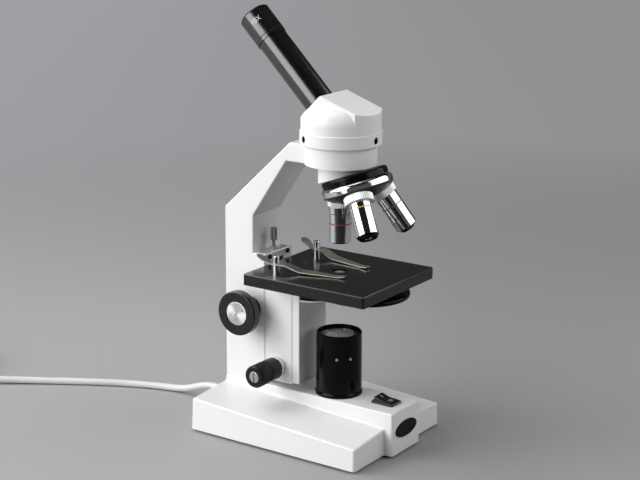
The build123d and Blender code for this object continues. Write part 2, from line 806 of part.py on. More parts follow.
# Stage plate with its light hole
post_foot_r = 2.0
light_hole_r = 6.5
lens_seat_r = 8.1
seam_r = 10.4
seam_wide = 0.5
seam_deep = 0.3
lens_seat_top = stage_top - 1.0
clip_spots = [(clip_x, -clip_y), (clip_x, clip_y)]
with BuildPart() as stage_plate:
    with BuildSketch(Plane.XY.offset(stage_low)):
        with Locations((stage_x, 0)):
            RectangleRounded(stage_long, stage_wide, 1.5)
    extrude(amount=stage_top - stage_low)
    chamfer(stage_plate.faces().sort_by(Axis.Z)[-1].edges(), 0.7)
    with BuildSketch(Plane.XY.offset(stage_low)):
        with Locations((axis_x, 0)):
            Circle(lens_seat_r)
    extrude(amount=lens_seat_top - stage_low, mode=Mode.SUBTRACT)
    with BuildSketch(Plane.XY.offset(stage_low)):
        with Locations((axis_x, 0)):
            Circle(light_hole_r)
        with Locations(*clip_spots):
            Circle(post_foot_r + 0.05)
    extrude(amount=stage_top - stage_low + 1, mode=Mode.SUBTRACT)
    with BuildSketch(Plane.XY.offset(stage_low)):
        with Locations(*stage_screw_spots):
            Circle(2.1)
        with Locations((disc_x, 0)):
            Circle(2.1)
    extrude(amount=6, mode=Mode.SUBTRACT)
    with BuildSketch(Plane.XY.offset(stage_top - seam_deep)):
        with Locations((axis_x, 0)):
            Circle(seam_r)
            Circle(seam_r - seam_wide, mode=Mode.SUBTRACT)
    extrude(amount=1, mode=Mode.SUBTRACT)
stage_plate.part.label = "stage_plate"
export_step(stage_plate.part, "parts/stage_plate.step")

# Condenser lens in the stage
condenser_rise = 3.8
condenser_top = stage_top - 0.3
with BuildPart() as condenser_lens:
    with BuildSketch(Plane.XZ):
        with BuildLine():
            lens_r = lens_seat_r - 0.1
            mid_r, mid_drop = dome_middle(lens_r, condenser_rise)
            Polyline(
                (axis_x, condenser_top),
                (axis_x, stage_low + 1),
                (axis_x + lens_r, stage_low + 1),
                (axis_x + lens_r, condenser_top - condenser_rise),
            )
            ThreePointArc(
                (axis_x + lens_r, condenser_top - condenser_rise),
                (axis_x + mid_r, condenser_top - mid_drop),
                (axis_x, condenser_top),
            )
        make_face()
    revolve(axis=Axis((axis_x, 0, 0), (0, 0, 1)))
condenser_lens.part.label = "condenser_lens"
export_step(condenser_lens.part, "parts/condenser_lens.step")

# Posts of the stage clips: foot, shoulder, waist for the leaf, and round cap
leaf_low = 152.6
leaf_thick = 0.8
post_top = 159.7
post_r_low = 3.0
post_r_cap = 2.8
waist_r = 2.2
tongue_end = 62.5
clip_tail_r = 4.5
with BuildPart() as clip_posts:
    with BuildSketch(Plane.XZ):
        with BuildLine():
            Polyline(
                (clip_x, stage_low + 1),
                (clip_x + post_foot_r, stage_low + 1),
                (clip_x + post_foot_r, stage_top),
                (clip_x + post_r_low, stage_top),
                (clip_x + post_r_low, leaf_low - 0.2),
                (clip_x + waist_r, leaf_low - 0.2),
                (clip_x + waist_r, leaf_low + leaf_thick + 0.2),
                (clip_x + post_r_cap, leaf_low + leaf_thick + 0.2),
                (clip_x + post_r_cap, post_top - 0.6),
                (clip_x + post_r_cap - 0.6, post_top),
                (clip_x, post_top),
                close=True,
            )
        make_face()
    revolve(axis=Axis((clip_x, 0, 0), (0, 0, 1)))
    lone_post = clip_posts.part
with BuildPart() as clip_post_pair:
    with Locations(*[(0, y, 0) for y in (-clip_y, clip_y)]):
        add(lone_post)
clip_post_pair.part.label = "clip_posts"
export_step(clip_post_pair.part, "parts/clip_posts.step")


def stage_clip(side):
    """A spring leaf on its post: raised round tail, bent neck, tapered tongue to the light hole."""
    turn = -side * clip_turn
    lean = math.radians(turn)
    leaf_x = (math.cos(lean), math.sin(lean), 0)
    leaf_side = (math.sin(lean), -math.cos(lean), 0)
    side_plane = Plane(origin=(clip_x, side * clip_y, 0), x_dir=leaf_x, z_dir=leaf_side)
    flat_plane = Plane(origin=(clip_x, side * clip_y, stage_top), x_dir=leaf_x, z_dir=(0, 0, 1))
    tail_line = [(-18.0, 158.8), (-5.5, leaf_low), (9.5, leaf_low)]
    tongue_line = [(22.5, 148.6), (56.0, 147.6), (tongue_end, 148.5)]
    low_line = tail_line + tongue_line
    with BuildPart() as clip:
        with BuildSketch(side_plane):
            with BuildLine():
                upper = [(s, z + leaf_thick) for s, z in reversed(low_line)]
                Polyline(*low_line, *upper, close=True)
            make_face()
        extrude(amount=8, both=True)
        with BuildSketch(flat_plane):
            with BuildLine():
                neck_edge = [(-11.5, 2.6), (-4, 3.4), (0, 4.2), (10, 4.6)]
                left_edge = neck_edge + [(18, 5.0), (24, 5.0), (tongue_end, 2.6)]
                right_edge = [(s, -across) for s, across in reversed(left_edge)]
                Polyline(*left_edge, *right_edge, close=True)
            make_face()
            with Locations((-13.2, 0)):
                Circle(clip_tail_r)
            Circle(waist_r + running, mode=Mode.SUBTRACT)
        extrude(amount=20, mode=Mode.INTERSECT)
    return clip.part


clip_near = stage_clip(-1)
clip_near.label = "clip_near"
export_step(clip_near, "parts/clip_near.step")
clip_far = stage_clip(1)
clip_far.label = "clip_far"
export_step(clip_far, "parts/clip_far.step")

# Disc diaphragm under the stage, turning on a shouldered screw
aperture_ring = disc_x - axis_x
disc_pivot_r = 3.0
with BuildPart() as diaphragm_disc:
    with BuildSketch(Plane.XY.offset(disc_low)):
        with Locations((disc_x, 0)):
            Circle(disc_r)
            Circle(disc_pivot_r + running, mode=Mode.SUBTRACT)
        for count, hole_r in enumerate((8.0, 6.0, 4.0, 2.5, 1.5)):
            turn = math.radians(180 + 72 * count)
            with Locations((disc_x + aperture_ring * math.cos(turn), aperture_ring * math.sin(turn))):
                Circle(hole_r, mode=Mode.SUBTRACT)
    extrude(amount=disc_thick)
    round_edges = diaphragm_disc.edges().filter_by(GeomType.CIRCLE)
    chamfer(round_edges.filter_by(lambda edge: edge.radius > disc_r - 1), 0.5)
diaphragm_disc.part.label = "diaphragm_disc"
export_step(diaphragm_disc.part, "parts/diaphragm_disc.step")

with BuildPart() as diaphragm_screw:
    with BuildSketch(Plane.XY.offset(disc_low - 2)):
        with Locations((disc_x, 0)):
            Circle(5)
    extrude(amount=2 - gap)
    with BuildSketch(Plane.XY.offset(disc_low - 1)):
        with Locations((disc_x, 0)):
            Circle(disc_pivot_r)
    extrude(amount=stage_low - disc_low + 1)
    with BuildSketch(Plane.XY.offset(stage_low)):
        with Locations((disc_x, 0)):
            Circle(2)
    extrude(amount=5)
diaphragm_screw.part.label = "diaphragm_screw"
export_step(diaphragm_screw.part, "parts/diaphragm_screw.step")

# Lamp house on the ridge
lamp_mouth_r = 17.8
lens_ledge = lamp_top - 3.8
lens_bore_r = 13.4
lens_floor = lamp_top - 7.6
lamp_screw_z = 74.3
lamp_screw_turns = (-62, -28)
lamp_screw_in = 15.5
lamp_screw_r = 0.7
lamp_screw_head_r = 1.2
with BuildPart() as lamp_house:
    with BuildSketch(Plane.XZ):
        with BuildLine():
            Polyline(
                (axis_x + 16.8, ridge_top),
                (axis_x + lamp_r + 0.9, ridge_top),
                (axis_x + lamp_r + 0.9, ridge_top + 2.2),
                (axis_x + lamp_r + 0.2, ridge_top + 3.6),
                (axis_x + lamp_r, lamp_top - 0.7),
                (axis_x + lamp_r - 0.7, lamp_top),
                (axis_x + lamp_mouth_r + 0.5, lamp_top),
                (axis_x + lamp_mouth_r, lamp_top - 0.5),
                (axis_x + lamp_mouth_r, lens_ledge),
                (axis_x + lens_bore_r, lens_ledge),
                (axis_x + lens_bore_r, lens_floor),
                (axis_x + 16.8, lens_floor),
                close=True,
            )
        make_face()
    revolve(axis=Axis((axis_x, 0, 0), (0, 0, 1)))
    for turn in lamp_screw_turns:
        screw_dir = (math.cos(math.radians(turn)), math.sin(math.radians(turn)), 0)
        screw_start = along(screw_dir, lamp_screw_in - 0.5, (axis_x, 0, lamp_screw_z))
        with BuildSketch(Plane(origin=screw_start, z_dir=screw_dir)):
            Circle(lamp_screw_r + 0.1)
        extrude(amount=6, mode=Mode.SUBTRACT)
lamp_house.part.label = "lamp_house"
export_step(lamp_house.part, "parts/lamp_house.step")

with BuildPart() as lamp_screws:
    for turn in lamp_screw_turns:
        screw_dir = (math.cos(math.radians(turn)), math.sin(math.radians(turn)), 0)
        screw_start = along(screw_dir, lamp_screw_in, (axis_x, 0, lamp_screw_z))
        head_start = along(screw_dir, lamp_r + 0.1, (axis_x, 0, lamp_screw_z))
        with BuildSketch(Plane(origin=screw_start, z_dir=screw_dir)):
            Circle(lamp_screw_r)
        extrude(amount=lamp_r + 0.1 - lamp_screw_in)
        with BuildSketch(Plane(origin=head_start, z_dir=screw_dir)):
            Circle(lamp_screw_head_r)
        extrude(amount=0.8)
lamp_screws.part.label = "lamp_screws"
export_step(lamp_screws.part, "parts/lamp_screws.step")

lens_edge_r = 12.5
lamp_lens_rise = 2.8
with BuildPart() as lamp_lens_ring:
    with BuildSketch(Plane.XY.offset(lens_ledge)):
        with Locations((axis_x, 0)):
            Circle(lamp_mouth_r - 0.1)
            Circle(lens_edge_r, mode=Mode.SUBTRACT)
    extrude(amount=1.6)
    chamfer(lamp_lens_ring.faces().sort_by(Axis.Z)[-1].edges(), 0.4)
lamp_lens_ring.part.label = "lamp_lens_ring"
export_step(lamp_lens_ring.part, "parts/lamp_lens_ring.step")

with BuildPart() as lamp_lens:
    with BuildSketch(Plane.XZ):
        with BuildLine():
            dome_r = lens_edge_r - 0.2
            mid_r, mid_drop = dome_middle(dome_r, lamp_lens_rise)
            dome_edge = (axis_x + dome_r, lens_ledge + 0.6)
            dome_top = (axis_x, lens_ledge + 0.6 + lamp_lens_rise)
            Polyline(
                dome_top,
                (axis_x, lens_floor + 0.2),
                (axis_x + lens_bore_r - 0.1, lens_floor + 0.2),
                (axis_x + lens_bore_r - 0.1, lens_ledge - 0.1),
                (axis_x + dome_r, lens_ledge - 0.1),
                dome_edge,
            )
            ThreePointArc(dome_edge, (axis_x + mid_r, dome_top[1] - mid_drop), dome_top)
        make_face()
    revolve(axis=Axis((axis_x, 0, 0), (0, 0, 1)))
lamp_lens.part.label = "lamp_lens"
export_step(lamp_lens.part, "parts/lamp_lens.step")

with BuildPart() as lamp_socket:
    with BuildSketch(Plane.XY.offset(ridge_top)):
        with Locations((axis_x, 0)):
            Circle(16.7)
    extrude(amount=2)
    with BuildSketch(Plane.XY.offset(ridge_top)):
        with Locations((axis_x, 0)):
            Circle(9)
    extrude(amount=18)
    with BuildSketch(Plane.XY.offset(ridge_top + 6)):
        with Locations((axis_x, 0)):
            Circle(6.2)
    extrude(amount=20, mode=Mode.SUBTRACT)
lamp_socket.part.label = "lamp_socket"
export_step(lamp_socket.part, "parts/lamp_socket.step")

bulb_r = 7.0
bulb_cap_r = 6.0
bulb_foot = ridge_top + 6.2
bulb_top = ridge_top + 40
with BuildPart() as lamp_bulb:
    with BuildSketch(Plane.XZ):
        with BuildLine():
            mid_r, mid_drop = dome_middle(bulb_r, bulb_r)
            Polyline(
                (axis_x, bulb_top),
                (axis_x, bulb_foot),
                (axis_x + bulb_cap_r, bulb_foot),
                (axis_x + bulb_cap_r, ridge_top + 19),
                (axis_x + bulb_r, ridge_top + 22),
                (axis_x + bulb_r, bulb_top - bulb_r),
            )
            ThreePointArc(
                (axis_x + bulb_r, bulb_top - bulb_r),
                (axis_x + mid_r, bulb_top - mid_drop),
                (axis_x, bulb_top),
            )
        make_face()
    revolve(axis=Axis((axis_x, 0, 0), (0, 0, 1)))
lamp_bulb.part.label = "lamp_bulb"
export_step(lamp_bulb.part, "parts/lamp_bulb.step")

# Rocker switch let into the ridge
with BuildPart() as switch_body:
    with BuildSketch(Plane.XY.offset(ridge_top)):
        with Locations((switch_x, 0)):
            RectangleRounded(21, 15, 1)
    extrude(amount=2)
    chamfer(switch_body.faces().sort_by(Axis.Z)[-1].edges(), 0.5)
    with BuildSketch(Plane.XY.offset(22)):
        with Locations((switch_x, 0)):
            Rectangle(19, 13)
    extrude(amount=ridge_top - 22)
    with BuildSketch(Plane.XY.offset(34)):
        with Locations((switch_x, 0)):
            Rectangle(18.8, 12.4)
    extrude(amount=12, mode=Mode.SUBTRACT)
    with Locations((switch_x - 4, 0, 18), (switch_x + 4, 0, 18)):
        Box(0.8, 6.3, 8)
switch_body.part.label = "switch_body"
export_step(switch_body.part, "parts/switch_body.step")

rocker_z = 41.0
rocker_half = 5.9
rocker_round = 5.0
with BuildPart() as switch_rocker:
    with BuildSketch(Plane.XZ):
        with BuildLine():
            Polyline(
                (switch_x - 8.2, rocker_z - 1.2),
                (switch_x - 8.2, rocker_z + 4.0),
                (switch_x, rocker_z + 1.3),
                (switch_x + 8.7, rocker_z + 0.7),
                (switch_x + 8.7, rocker_z - 1.8),
                (switch_x + 3, rocker_z - 4.2),
                (switch_x - 3, rocker_z - 4.2),
                close=True,
            )
        make_face()
    extrude(amount=rocker_half, both=True)
    with BuildSketch(Plane.XZ):
        with BuildLine():
            Line((switch_x - rocker_round, rocker_z), (switch_x + rocker_round, rocker_z))
            ThreePointArc(
                (switch_x + rocker_round, rocker_z),
                (switch_x, rocker_z - rocker_round),
                (switch_x - rocker_round, rocker_z),
            )
        make_face()
    extrude(amount=rocker_half, both=True)
    fillet(switch_rocker.edges().filter_by(Axis.Y).group_by(Axis.Z)[-1], 0.5)
switch_rocker.part.label = "switch_rocker"
export_step(switch_rocker.part, "parts/switch_rocker.step")

# Head: collar over the spigot of the arm, round shoulders and a flat-sided prism house
tube_dir = (-math.sqrt(0.5), 0, math.sqrt(0.5))
tube_foot = (tube_foot_x, 0, tube_foot_z)
head_back = axis_x - head_r
head_screw_z = 262.6
head_screw_turns = (0, 120, 240)
head_screw_r = 2.9
head_socket_r = 1.5
shoulder_r = 14.0
shoulder_z = 275.0
shoulder_x = axis_x + head_r - shoulder_r
shoulder_half = shoulder_r * math.sqrt(0.5)
shoulder_top = shoulder_z + shoulder_r
head_slope = (head_ridge_z - head_front_z) / (axis_x + head_r - head_ridge_x)
with BuildPart() as head_shoulders:
    with BuildSketch(Plane.XZ):
        with BuildLine():
            Polyline(
                (axis_x, collar_low),
                (axis_x + collar_r - 0.8, collar_low),
                (axis_x + collar_r, collar_low + 0.8),
                (axis_x + collar_r, collar_high - 0.6),
                (axis_x + head_r, collar_high),
                (axis_x + head_r, shoulder_z),
            )
            ThreePointArc(
                (axis_x + head_r, shoulder_z),
                (shoulder_x + shoulder_half, shoulder_z + shoulder_half),
                (shoulder_x, shoulder_top),
            )
            Polyline((shoulder_x, shoulder_top), (axis_x, shoulder_top), (axis_x, collar_low))
        make_face()
    revolve(axis=Axis((axis_x, 0, 0), (0, 0, 1)))
    shoulder_slope = Plane(origin=(head_ridge_x, 0, head_ridge_z - 0.5), z_dir=(head_slope, 0, 1))
    split(bisect_by=shoulder_slope, keep=Keep.BOTTOM)

with BuildPart() as head_housing:
    with BuildSketch(Plane.XZ):
        with BuildLine():
            Polyline(
                (head_back, collar_high),
                (head_back, head_ridge_z - (head_ridge_x - head_back)),
                (head_ridge_x, head_ridge_z),
                (axis_x + head_r, head_front_z),
                (axis_x + head_r, collar_high),
                close=True,
            )
        make_face()
    extrude(amount=head_half, both=True)
    fillet(head_housing.edges().filter_by(Axis.Y).group_by(Axis.Z)[-1], 1.2)
    with BuildSketch(Plane.XY.offset(collar_high)):
        with Locations((axis_x, 0)):
            Circle(head_r)
    extrude(amount=40, mode=Mode.INTERSECT)
    flat_edges = head_housing.faces().filter_by(Axis.Y).edges()
    fillet(flat_edges.filter_by(lambda edge: edge.center().Z > collar_high + 1), 1.0)
    add(head_shoulders.part)
    rear_plane = Plane(origin=tube_foot, z_dir=tube_dir)
    split(bisect_by=rear_plane, keep=Keep.BOTTOM)
    with BuildSketch(Plane.XY.offset(collar_low)):
        with Locations((axis_x, 0)):
            Circle(spigot_r + running)
    extrude(amount=spigot_top - collar_low + gap, mode=Mode.SUBTRACT)
    with BuildSketch(Plane.XZ):
        with BuildLine():
            Polyline((6, 262), (23, 262), (16.45, 277.2), (15, 279.5), (6, 279.5), close=True)
        make_face()
    extrude(amount=10.1, both=True, mode=Mode.SUBTRACT)
    with BuildSketch(Plane(origin=along(tube_dir, -14, tube_foot), z_dir=tube_dir)):
        Circle(tube_r + 0.02)
    extrude(amount=40, mode=Mode.SUBTRACT)
    for turn in head_screw_turns:
        screw_dir = (math.cos(math.radians(turn)), math.sin(math.radians(turn)), 0)
        with BuildSketch(Plane(origin=along(screw_dir, 20, (axis_x, 0, head_screw_z)), z_dir=screw_dir)):
            Circle(head_screw_r + 0.1)
        extrude(amount=20, mode=Mode.SUBTRACT)
head_housing.part.label = "head_housing"
export_step(head_housing.part, "parts/head_housing.step")

# Three socket set screws in the collar
with BuildPart() as head_screws:
    for turn in head_screw_turns:
        screw_dir = (math.cos(math.radians(turn)), math.sin(math.radians(turn)), 0)
        screw_foot = along(screw_dir, spigot_r + 0.4, (axis_x, 0, head_screw_z))
        socket_foot = along(screw_dir, collar_r - 3, (axis_x, 0, head_screw_z))
        with BuildSketch(Plane(origin=screw_foot, z_dir=screw_dir)):
            Circle(head_screw_r)
        extrude(amount=collar_r - spigot_r - 0.9)
        with BuildSketch(Plane(origin=socket_foot, z_dir=screw_dir)):
            RegularPolygon(head_socket_r, 6)
        extrude(amount=5, mode=Mode.SUBTRACT)
head_screws.part.label = "head_screws"
export_step(head_screws.part, "parts/head_screws.step")

# Prism that bends the light from the objective into the tube
with BuildPart() as prism:
    with BuildSketch(Plane.XZ):
        with BuildLine():
            Polyline((23.86, 259.0), (16.4, 277.0), (8.0, 268.6), (8.0, 259.0), close=True)
        make_face()
    extrude(amount=10, both=True)
prism.part.label = "prism"
export_step(prism.part, "parts/prism.step")

# Tube
with BuildPart() as body_tube:
    with BuildSketch(Plane(origin=along(tube_dir, -13.5, tube_foot), z_dir=tube_dir)):
        Circle(tube_r)
        Circle(tube_bore, mode=Mode.SUBTRACT)
    extrude(amount=tube_length + 13.5)
body_tube.part.label = "body_tube"
export_step(body_tube.part, "parts/body_tube.step")


def tube_profile_plane():
    """Plane through the tube axis: local x across the tube, local y along it."""
    return Plane(origin=tube_foot, x_dir=(math.sqrt(0.5), 0, math.sqrt(0.5)), z_dir=(0, -1, 0))


# Eyepiece: sleeve in the tube, wider grip above it
eye_low = tube_length + gap
eye_high = tube_length + eyepiece_length
sleeve_low = tube_length - 26
with BuildPart() as eyepiece_barrel:
    with BuildSketch(tube_profile_plane()):
        with BuildLine():
            Polyline(
                (10.4, sleeve_low),
                (tube_bore - running, sleeve_low),
                (tube_bore - running, eye_low),
                (eyepiece_r, eye_low),
                (eyepiece_r, eye_low + 2.2),
                (eyepiece_r - 0.5, eye_low + 2.6),
                (eyepiece_r - 0.5, eye_low + 3.4),
                (eyepiece_r, eye_low + 3.8),
                (eyepiece_r, eye_high - 1.2),
                (eyepiece_r - 1.2, eye_high),
                (10.2, eye_high),
                (8.6, eye_high - 2.0),
                (8.6, eye_high - 3.0),
                (10.4, eye_high - 3.0),
                close=True,
            )
        make_face()
    revolve(axis=Axis(tube_foot, tube_dir))
eyepiece_barrel.part.label = "eyepiece_barrel"
export_step(eyepiece_barrel.part, "parts/eyepiece_barrel.step")

eye_lens_r = 10.3
eye_dome_r = 8.4
eye_dome_low = eye_high - 3.1
eye_rise = 1.6
with BuildPart() as eyepiece_lenses:
    with BuildSketch(tube_profile_plane()):
        with BuildLine():
            mid_r, mid_drop = dome_middle(eye_dome_r, eye_rise)
            Polyline(
                (0, eye_dome_low + eye_rise),
                (0, eye_dome_low - 4.4),
                (eye_lens_r, eye_dome_low - 4.4),
                (eye_lens_r, eye_dome_low),
                (eye_dome_r, eye_dome_low),
            )
            ThreePointArc(
                (eye_dome_r, eye_dome_low),
                (mid_r, eye_dome_low + eye_rise - mid_drop),
                (0, eye_dome_low + eye_rise),
            )
        make_face()
    revolve(axis=Axis(tube_foot, tube_dir))
    with BuildSketch(Plane(origin=along(tube_dir, sleeve_low + 1, tube_foot), z_dir=tube_dir)):
        Circle(eye_lens_r)
    extrude(amount=3.5)
eyepiece_lenses.part.label = "eyepiece_lenses"
export_step(eyepiece_lenses.part, "parts/eyepiece_lenses.step")

# Nosepiece: white mount cut square to the turret axis, dark fixed plate, turning turret below
tilt_rad = math.radians(turret_tilt)
turret_dir = (math.sin(tilt_rad), 0, -math.cos(tilt_rad))
apex = (axis_x, 0, apex_z)
mount_h = 37.4
plate_h = 43.6
turret_top_h = 44.0
turret_rim_h = 52.4
turret_low_h = 59.0
boss_s = 53.0
objective_bore_r = 4.0
objective_thread_r = 8.6


def turret_plane(h):
    """Plane square to the turret axis, a distance h below the apex."""
    return Plane(origin=along(turret_dir, h, apex), x_dir=(0, 1, 0), z_dir=turret_dir)


def turret_profile_plane():
    """Plane through the turret axis: local x across it, local y along it."""
    return Plane(origin=apex, x_dir=(math.cos(tilt_rad), 0, math.sin(tilt_rad)), z_dir=(0, 1, 0))


def objective_direction(turn_deg):
    """Direction of an objective, which is straight down turned about the turret axis."""
    turned = Vector(0, 0, -1).rotate(Axis((0, 0, 0), turret_dir), turn_deg)
    return (turned.X, turned.Y, turned.Z)


with BuildPart() as nosepiece_mount:
    with BuildSketch(Plane.XY.offset(boss_bottom)):
        with Locations((axis_x, 0)):
            Circle(mount_r)
            Circle(light_bore_r, mode=Mode.SUBTRACT)
    extrude(amount=-25)
    split(bisect_by=turret_plane(mount_h), keep=Keep.BOTTOM)
nosepiece_mount.part.label = "nosepiece_mount"
export_step(nosepiece_mount.part, "parts/nosepiece_mount.step")

pivot_r = 4.0
nose_plate_r = 28.3
nose_plate_round = 2.6
with BuildPart() as nosepiece_plate:
    with BuildSketch(turret_plane(mount_h)):
        Circle(nose_plate_r)
    extrude(amount=plate_h - mount_h)
    fillet(nosepiece_plate.edges().filter_by(GeomType.CIRCLE).sort_by(Axis.Z)[-1], nose_plate_round)
    with BuildSketch(Plane.XY.offset(boss_bottom)):
        with Locations((axis_x, 0)):
            Circle(light_bore_r)
    extrude(amount=-40, mode=Mode.SUBTRACT)
    with BuildSketch(turret_plane(mount_h - 1)):
        Circle(pivot_r)
    extrude(amount=12, mode=Mode.SUBTRACT)
nosepiece_plate.part.label = "nosepiece_plate"
export_step(nosepiece_plate.part, "parts/nosepiece_plate.step")

rim_shoulder = 3.4
rim_under = 2.4
objective_turns = {"objective_4": 0, "objective_10": -120, "objective_40": 120}
with BuildPart() as turret:
    with BuildSketch(turret_profile_plane()):
        with BuildLine():
            Polyline(
                (0, turret_top_h),
                (turret_r, turret_top_h),
                (turret_r, turret_rim_h),
                (turret_r - 4, turret_rim_h + 0.5),
                (17.0, turret_low_h),
                (0, turret_low_h),
                close=True,
            )
        make_face()
    revolve(axis=Axis(apex, turret_dir))
    rings = turret.edges().filter_by(GeomType.CIRCLE)
    fillet(rings.filter_by(lambda edge: edge.radius > turret_r - 0.1).sort_by(Axis.Z)[-1], rim_shoulder)
    rings = turret.edges().filter_by(GeomType.CIRCLE)
    fillet(rings.filter_by(lambda edge: edge.radius > turret_r - 0.1).sort_by(Axis.Z)[0], rim_under)
    for turn in objective_turns.values():
        look = objective_direction(turn)
        with BuildSketch(Plane(origin=along(look, boss_s, apex), z_dir=look)):
            Circle(11.6)
        extrude(amount=seat_s - boss_s)
    for turn in objective_turns.values():
        look = objective_direction(turn)
        with BuildSketch(Plane(origin=along(look, 40, apex), z_dir=look)):
            Circle(objective_thread_r + 0.1)
        extrude(amount=30, mode=Mode.SUBTRACT)
        with BuildSketch(Plane(origin=along(look, seat_s, apex), z_dir=look)):
            Circle(12.8)
        extrude(amount=10, mode=Mode.SUBTRACT)
    with BuildSketch(turret_plane(turret_top_h - 1)):
        Circle(pivot_r + running)
    extrude(amount=30, mode=Mode.SUBTRACT)
turret.part.label = "turret"
export_step(turret.part, "parts/turret.step")

# Shouldered screw that the turret turns on
with BuildPart() as turret_screw:
    with BuildSketch(turret_plane(mount_h)):
        Circle(pivot_r - 0.02)
    extrude(amount=turret_low_h + gap - mount_h)
    with BuildSketch(turret_plane(turret_low_h + gap)):
        Circle(6.5)
    extrude(amount=2)
turret_screw.part.label = "turret_screw"
export_step(turret_screw.part, "parts/turret_screw.step")


def objective_plane(turn_deg):
    """Plane through an objective's axis: local x across it, local y along it from the apex."""
    look = Vector(*objective_direction(turn_deg))
    across = look.cross(Vector(*turret_dir))
    if across.length < 0.001:
        across = Vector(0, 1, 0)
    sideways = across.normalized()
    return Plane(origin=apex, x_dir=sideways, z_dir=sideways.cross(look))


def objective(turn_deg, grip_r, grip_end, barrel_r, barrel_end, tip_r, tip_end, waist):
    """Objective barrel with thread, knurled grip, waist, barrel and tapered tip, bored through."""
    look = objective_direction(turn_deg)
    with BuildPart() as barrel:
        with BuildSketch(Plane(origin=along(look, seat_s, apex), z_dir=look)):
            with BuildLine():
                Polyline(*knurl_points(grip_r, 0.3, 48), close=True)
            make_face()
        extrude(amount=grip_end - seat_s)
        with BuildSketch(objective_plane(turn_deg)):
            with BuildLine():
                Polyline(
                    (0, seat_s),
                    (grip_r - 0.7, seat_s),
                    (grip_r + 0.1, seat_s + 0.8),
                    (grip_r + 0.1, grip_end - 0.8),
                    (grip_r - 0.7, grip_end),
                    (0, grip_end),
                    close=True,
                )
            make_face()
        revolve(axis=Axis(apex, look), mode=Mode.INTERSECT)
        with BuildSketch(objective_plane(turn_deg)):
            with BuildLine():
                Polyline(
                    (objective_bore_r, seat_s - 5),
                    (objective_thread_r, seat_s - 5),
                    (objective_thread_r, grip_end),
                    (barrel_r + waist, grip_end),
                    (barrel_r + waist, grip_end + 5.5),
                    (barrel_r, grip_end + 6.2),
                    (barrel_r, barrel_end),
                    (tip_r, tip_end - 0.8),
                    (tip_r - 0.8, tip_end),
                    (objective_bore_r, tip_end),
                    close=True,
                )
            make_face()
        revolve(axis=Axis(apex, look))
        with BuildSketch(Plane(origin=along(look, seat_s - 6, apex), z_dir=look)):
            Circle(objective_bore_r)
        extrude(amount=60, mode=Mode.SUBTRACT)
    return barrel.part


objective_shapes = {
    "objective_4": {
        "grip_r": 10.8,
        "grip_end": 64.4,
        "barrel_r": 9.45,
        "barrel_end": 94.6,
        "tip_r": 8.9,
        "tip_end": 95.6,
        "waist": 0.6,
    },
    "objective_10": {
        "grip_r": 12.4,
        "grip_end": 66.4,
        "barrel_r": 9.5,
        "barrel_end": 94.2,
        "tip_r": 8.2,
        "tip_end": 96.8,
        "waist": 0.0,
    },
    "objective_40": {
        "grip_r": 11.0,
        "grip_end": 66.0,
        "barrel_r": 9.6,
        "barrel_end": 97.6,
        "tip_r": 6.6,
        "tip_end": 101.0,
        "waist": 0.0,
    },
}
for name, shape in objective_shapes.items():
    objective_part = objective(objective_turns[name], **shape)
    objective_part.label = name
    export_step(objective_part, f"parts/{name}.step")

# Front lens of each objective
with BuildPart() as objective_lenses:
    for name, shape in objective_shapes.items():
        look = objective_direction(objective_turns[name])
        with BuildSketch(Plane(origin=along(look, shape["tip_end"] - 3, apex), z_dir=look)):
            Circle(objective_bore_r - 0.05)
        extrude(amount=2.4)
objective_lenses.part.label = "objective_lenses"
export_step(objective_lenses.part, "parts/objective_lenses.step")

# Strain relief in the back of the base
gland_face_x = base_back + (gland_z - casting_bottom) * math.tan(math.radians(draft_deg))
gland_end_x = -108.5
gland_neck_x = gland_face_x - 3
gland_neck_r = 5.8
gland_tail_r = 4.1
gland_groove_half = 0.6
gland_groove_deep = 0.8
gland_grooves = (-94.0, -96.8, -99.6, -102.4, -105.2)


def gland_r(x):
    """Radius of the tapered tail of the strain relief at a given x."""
    share = (gland_neck_x - x) / (gland_neck_x - gland_end_x)
    return gland_neck_r + (gland_tail_r - gland_neck_r) * share


def gland_outline():
    """Half outline of the strain relief: spigot, flange and a tapered tail with grooves."""
    outline = [
        (gland_face_x + 6, gland_z),
        (gland_face_x + 6, gland_z + 5.0),
        (gland_face_x, gland_z + 5.0),
        (gland_face_x, gland_z + 7.0),
        (gland_face_x - 2, gland_z + 7.0),
        (gland_neck_x, gland_z + gland_neck_r),
    ]
    for x in gland_grooves:
        for step, sunk in ((1, 0), (1, gland_groove_deep), (-1, gland_groove_deep), (-1, 0)):
            edge_x = x + step * gland_groove_half
            outline.append((edge_x, gland_z + gland_r(edge_x) - sunk))
    outline.append((gland_end_x, gland_z + gland_tail_r))
    outline.append((gland_end_x, gland_z))
    return outline


with BuildPart() as cord_gland:
    with BuildSketch(Plane.XZ):
        with BuildLine():
            Polyline(*gland_outline(), close=True)
        make_face()
    revolve(axis=Axis((0, 0, gland_z), (1, 0, 0)))
cord_gland.part.label = "cord_gland"
export_step(cord_gland.part, "parts/cord_gland.step")

# Mains lead: out of the gland, down to the table and away, then a coil with its plug
cord_route = [
    (gland_end_x, 0.0, gland_z),
    (-118.5, 0.0, gland_z),
    (-128.5, 0.1, 13.2),
    (-139.0, 0.3, 9.0),
    (-151.0, 0.5, 4.9),
    (-165.0, -0.8, 3.4),
    (-184.0, -5.8, 3.2),
    (-213.0, -18.0, 3.1),
    (-246.0, -36.5, 3.1),
    (-281.0, -58.5, 3.3),
    (-315.5, -82.2, coil_low_z),
    (-348.7, -107.1, coil_low_z),
]


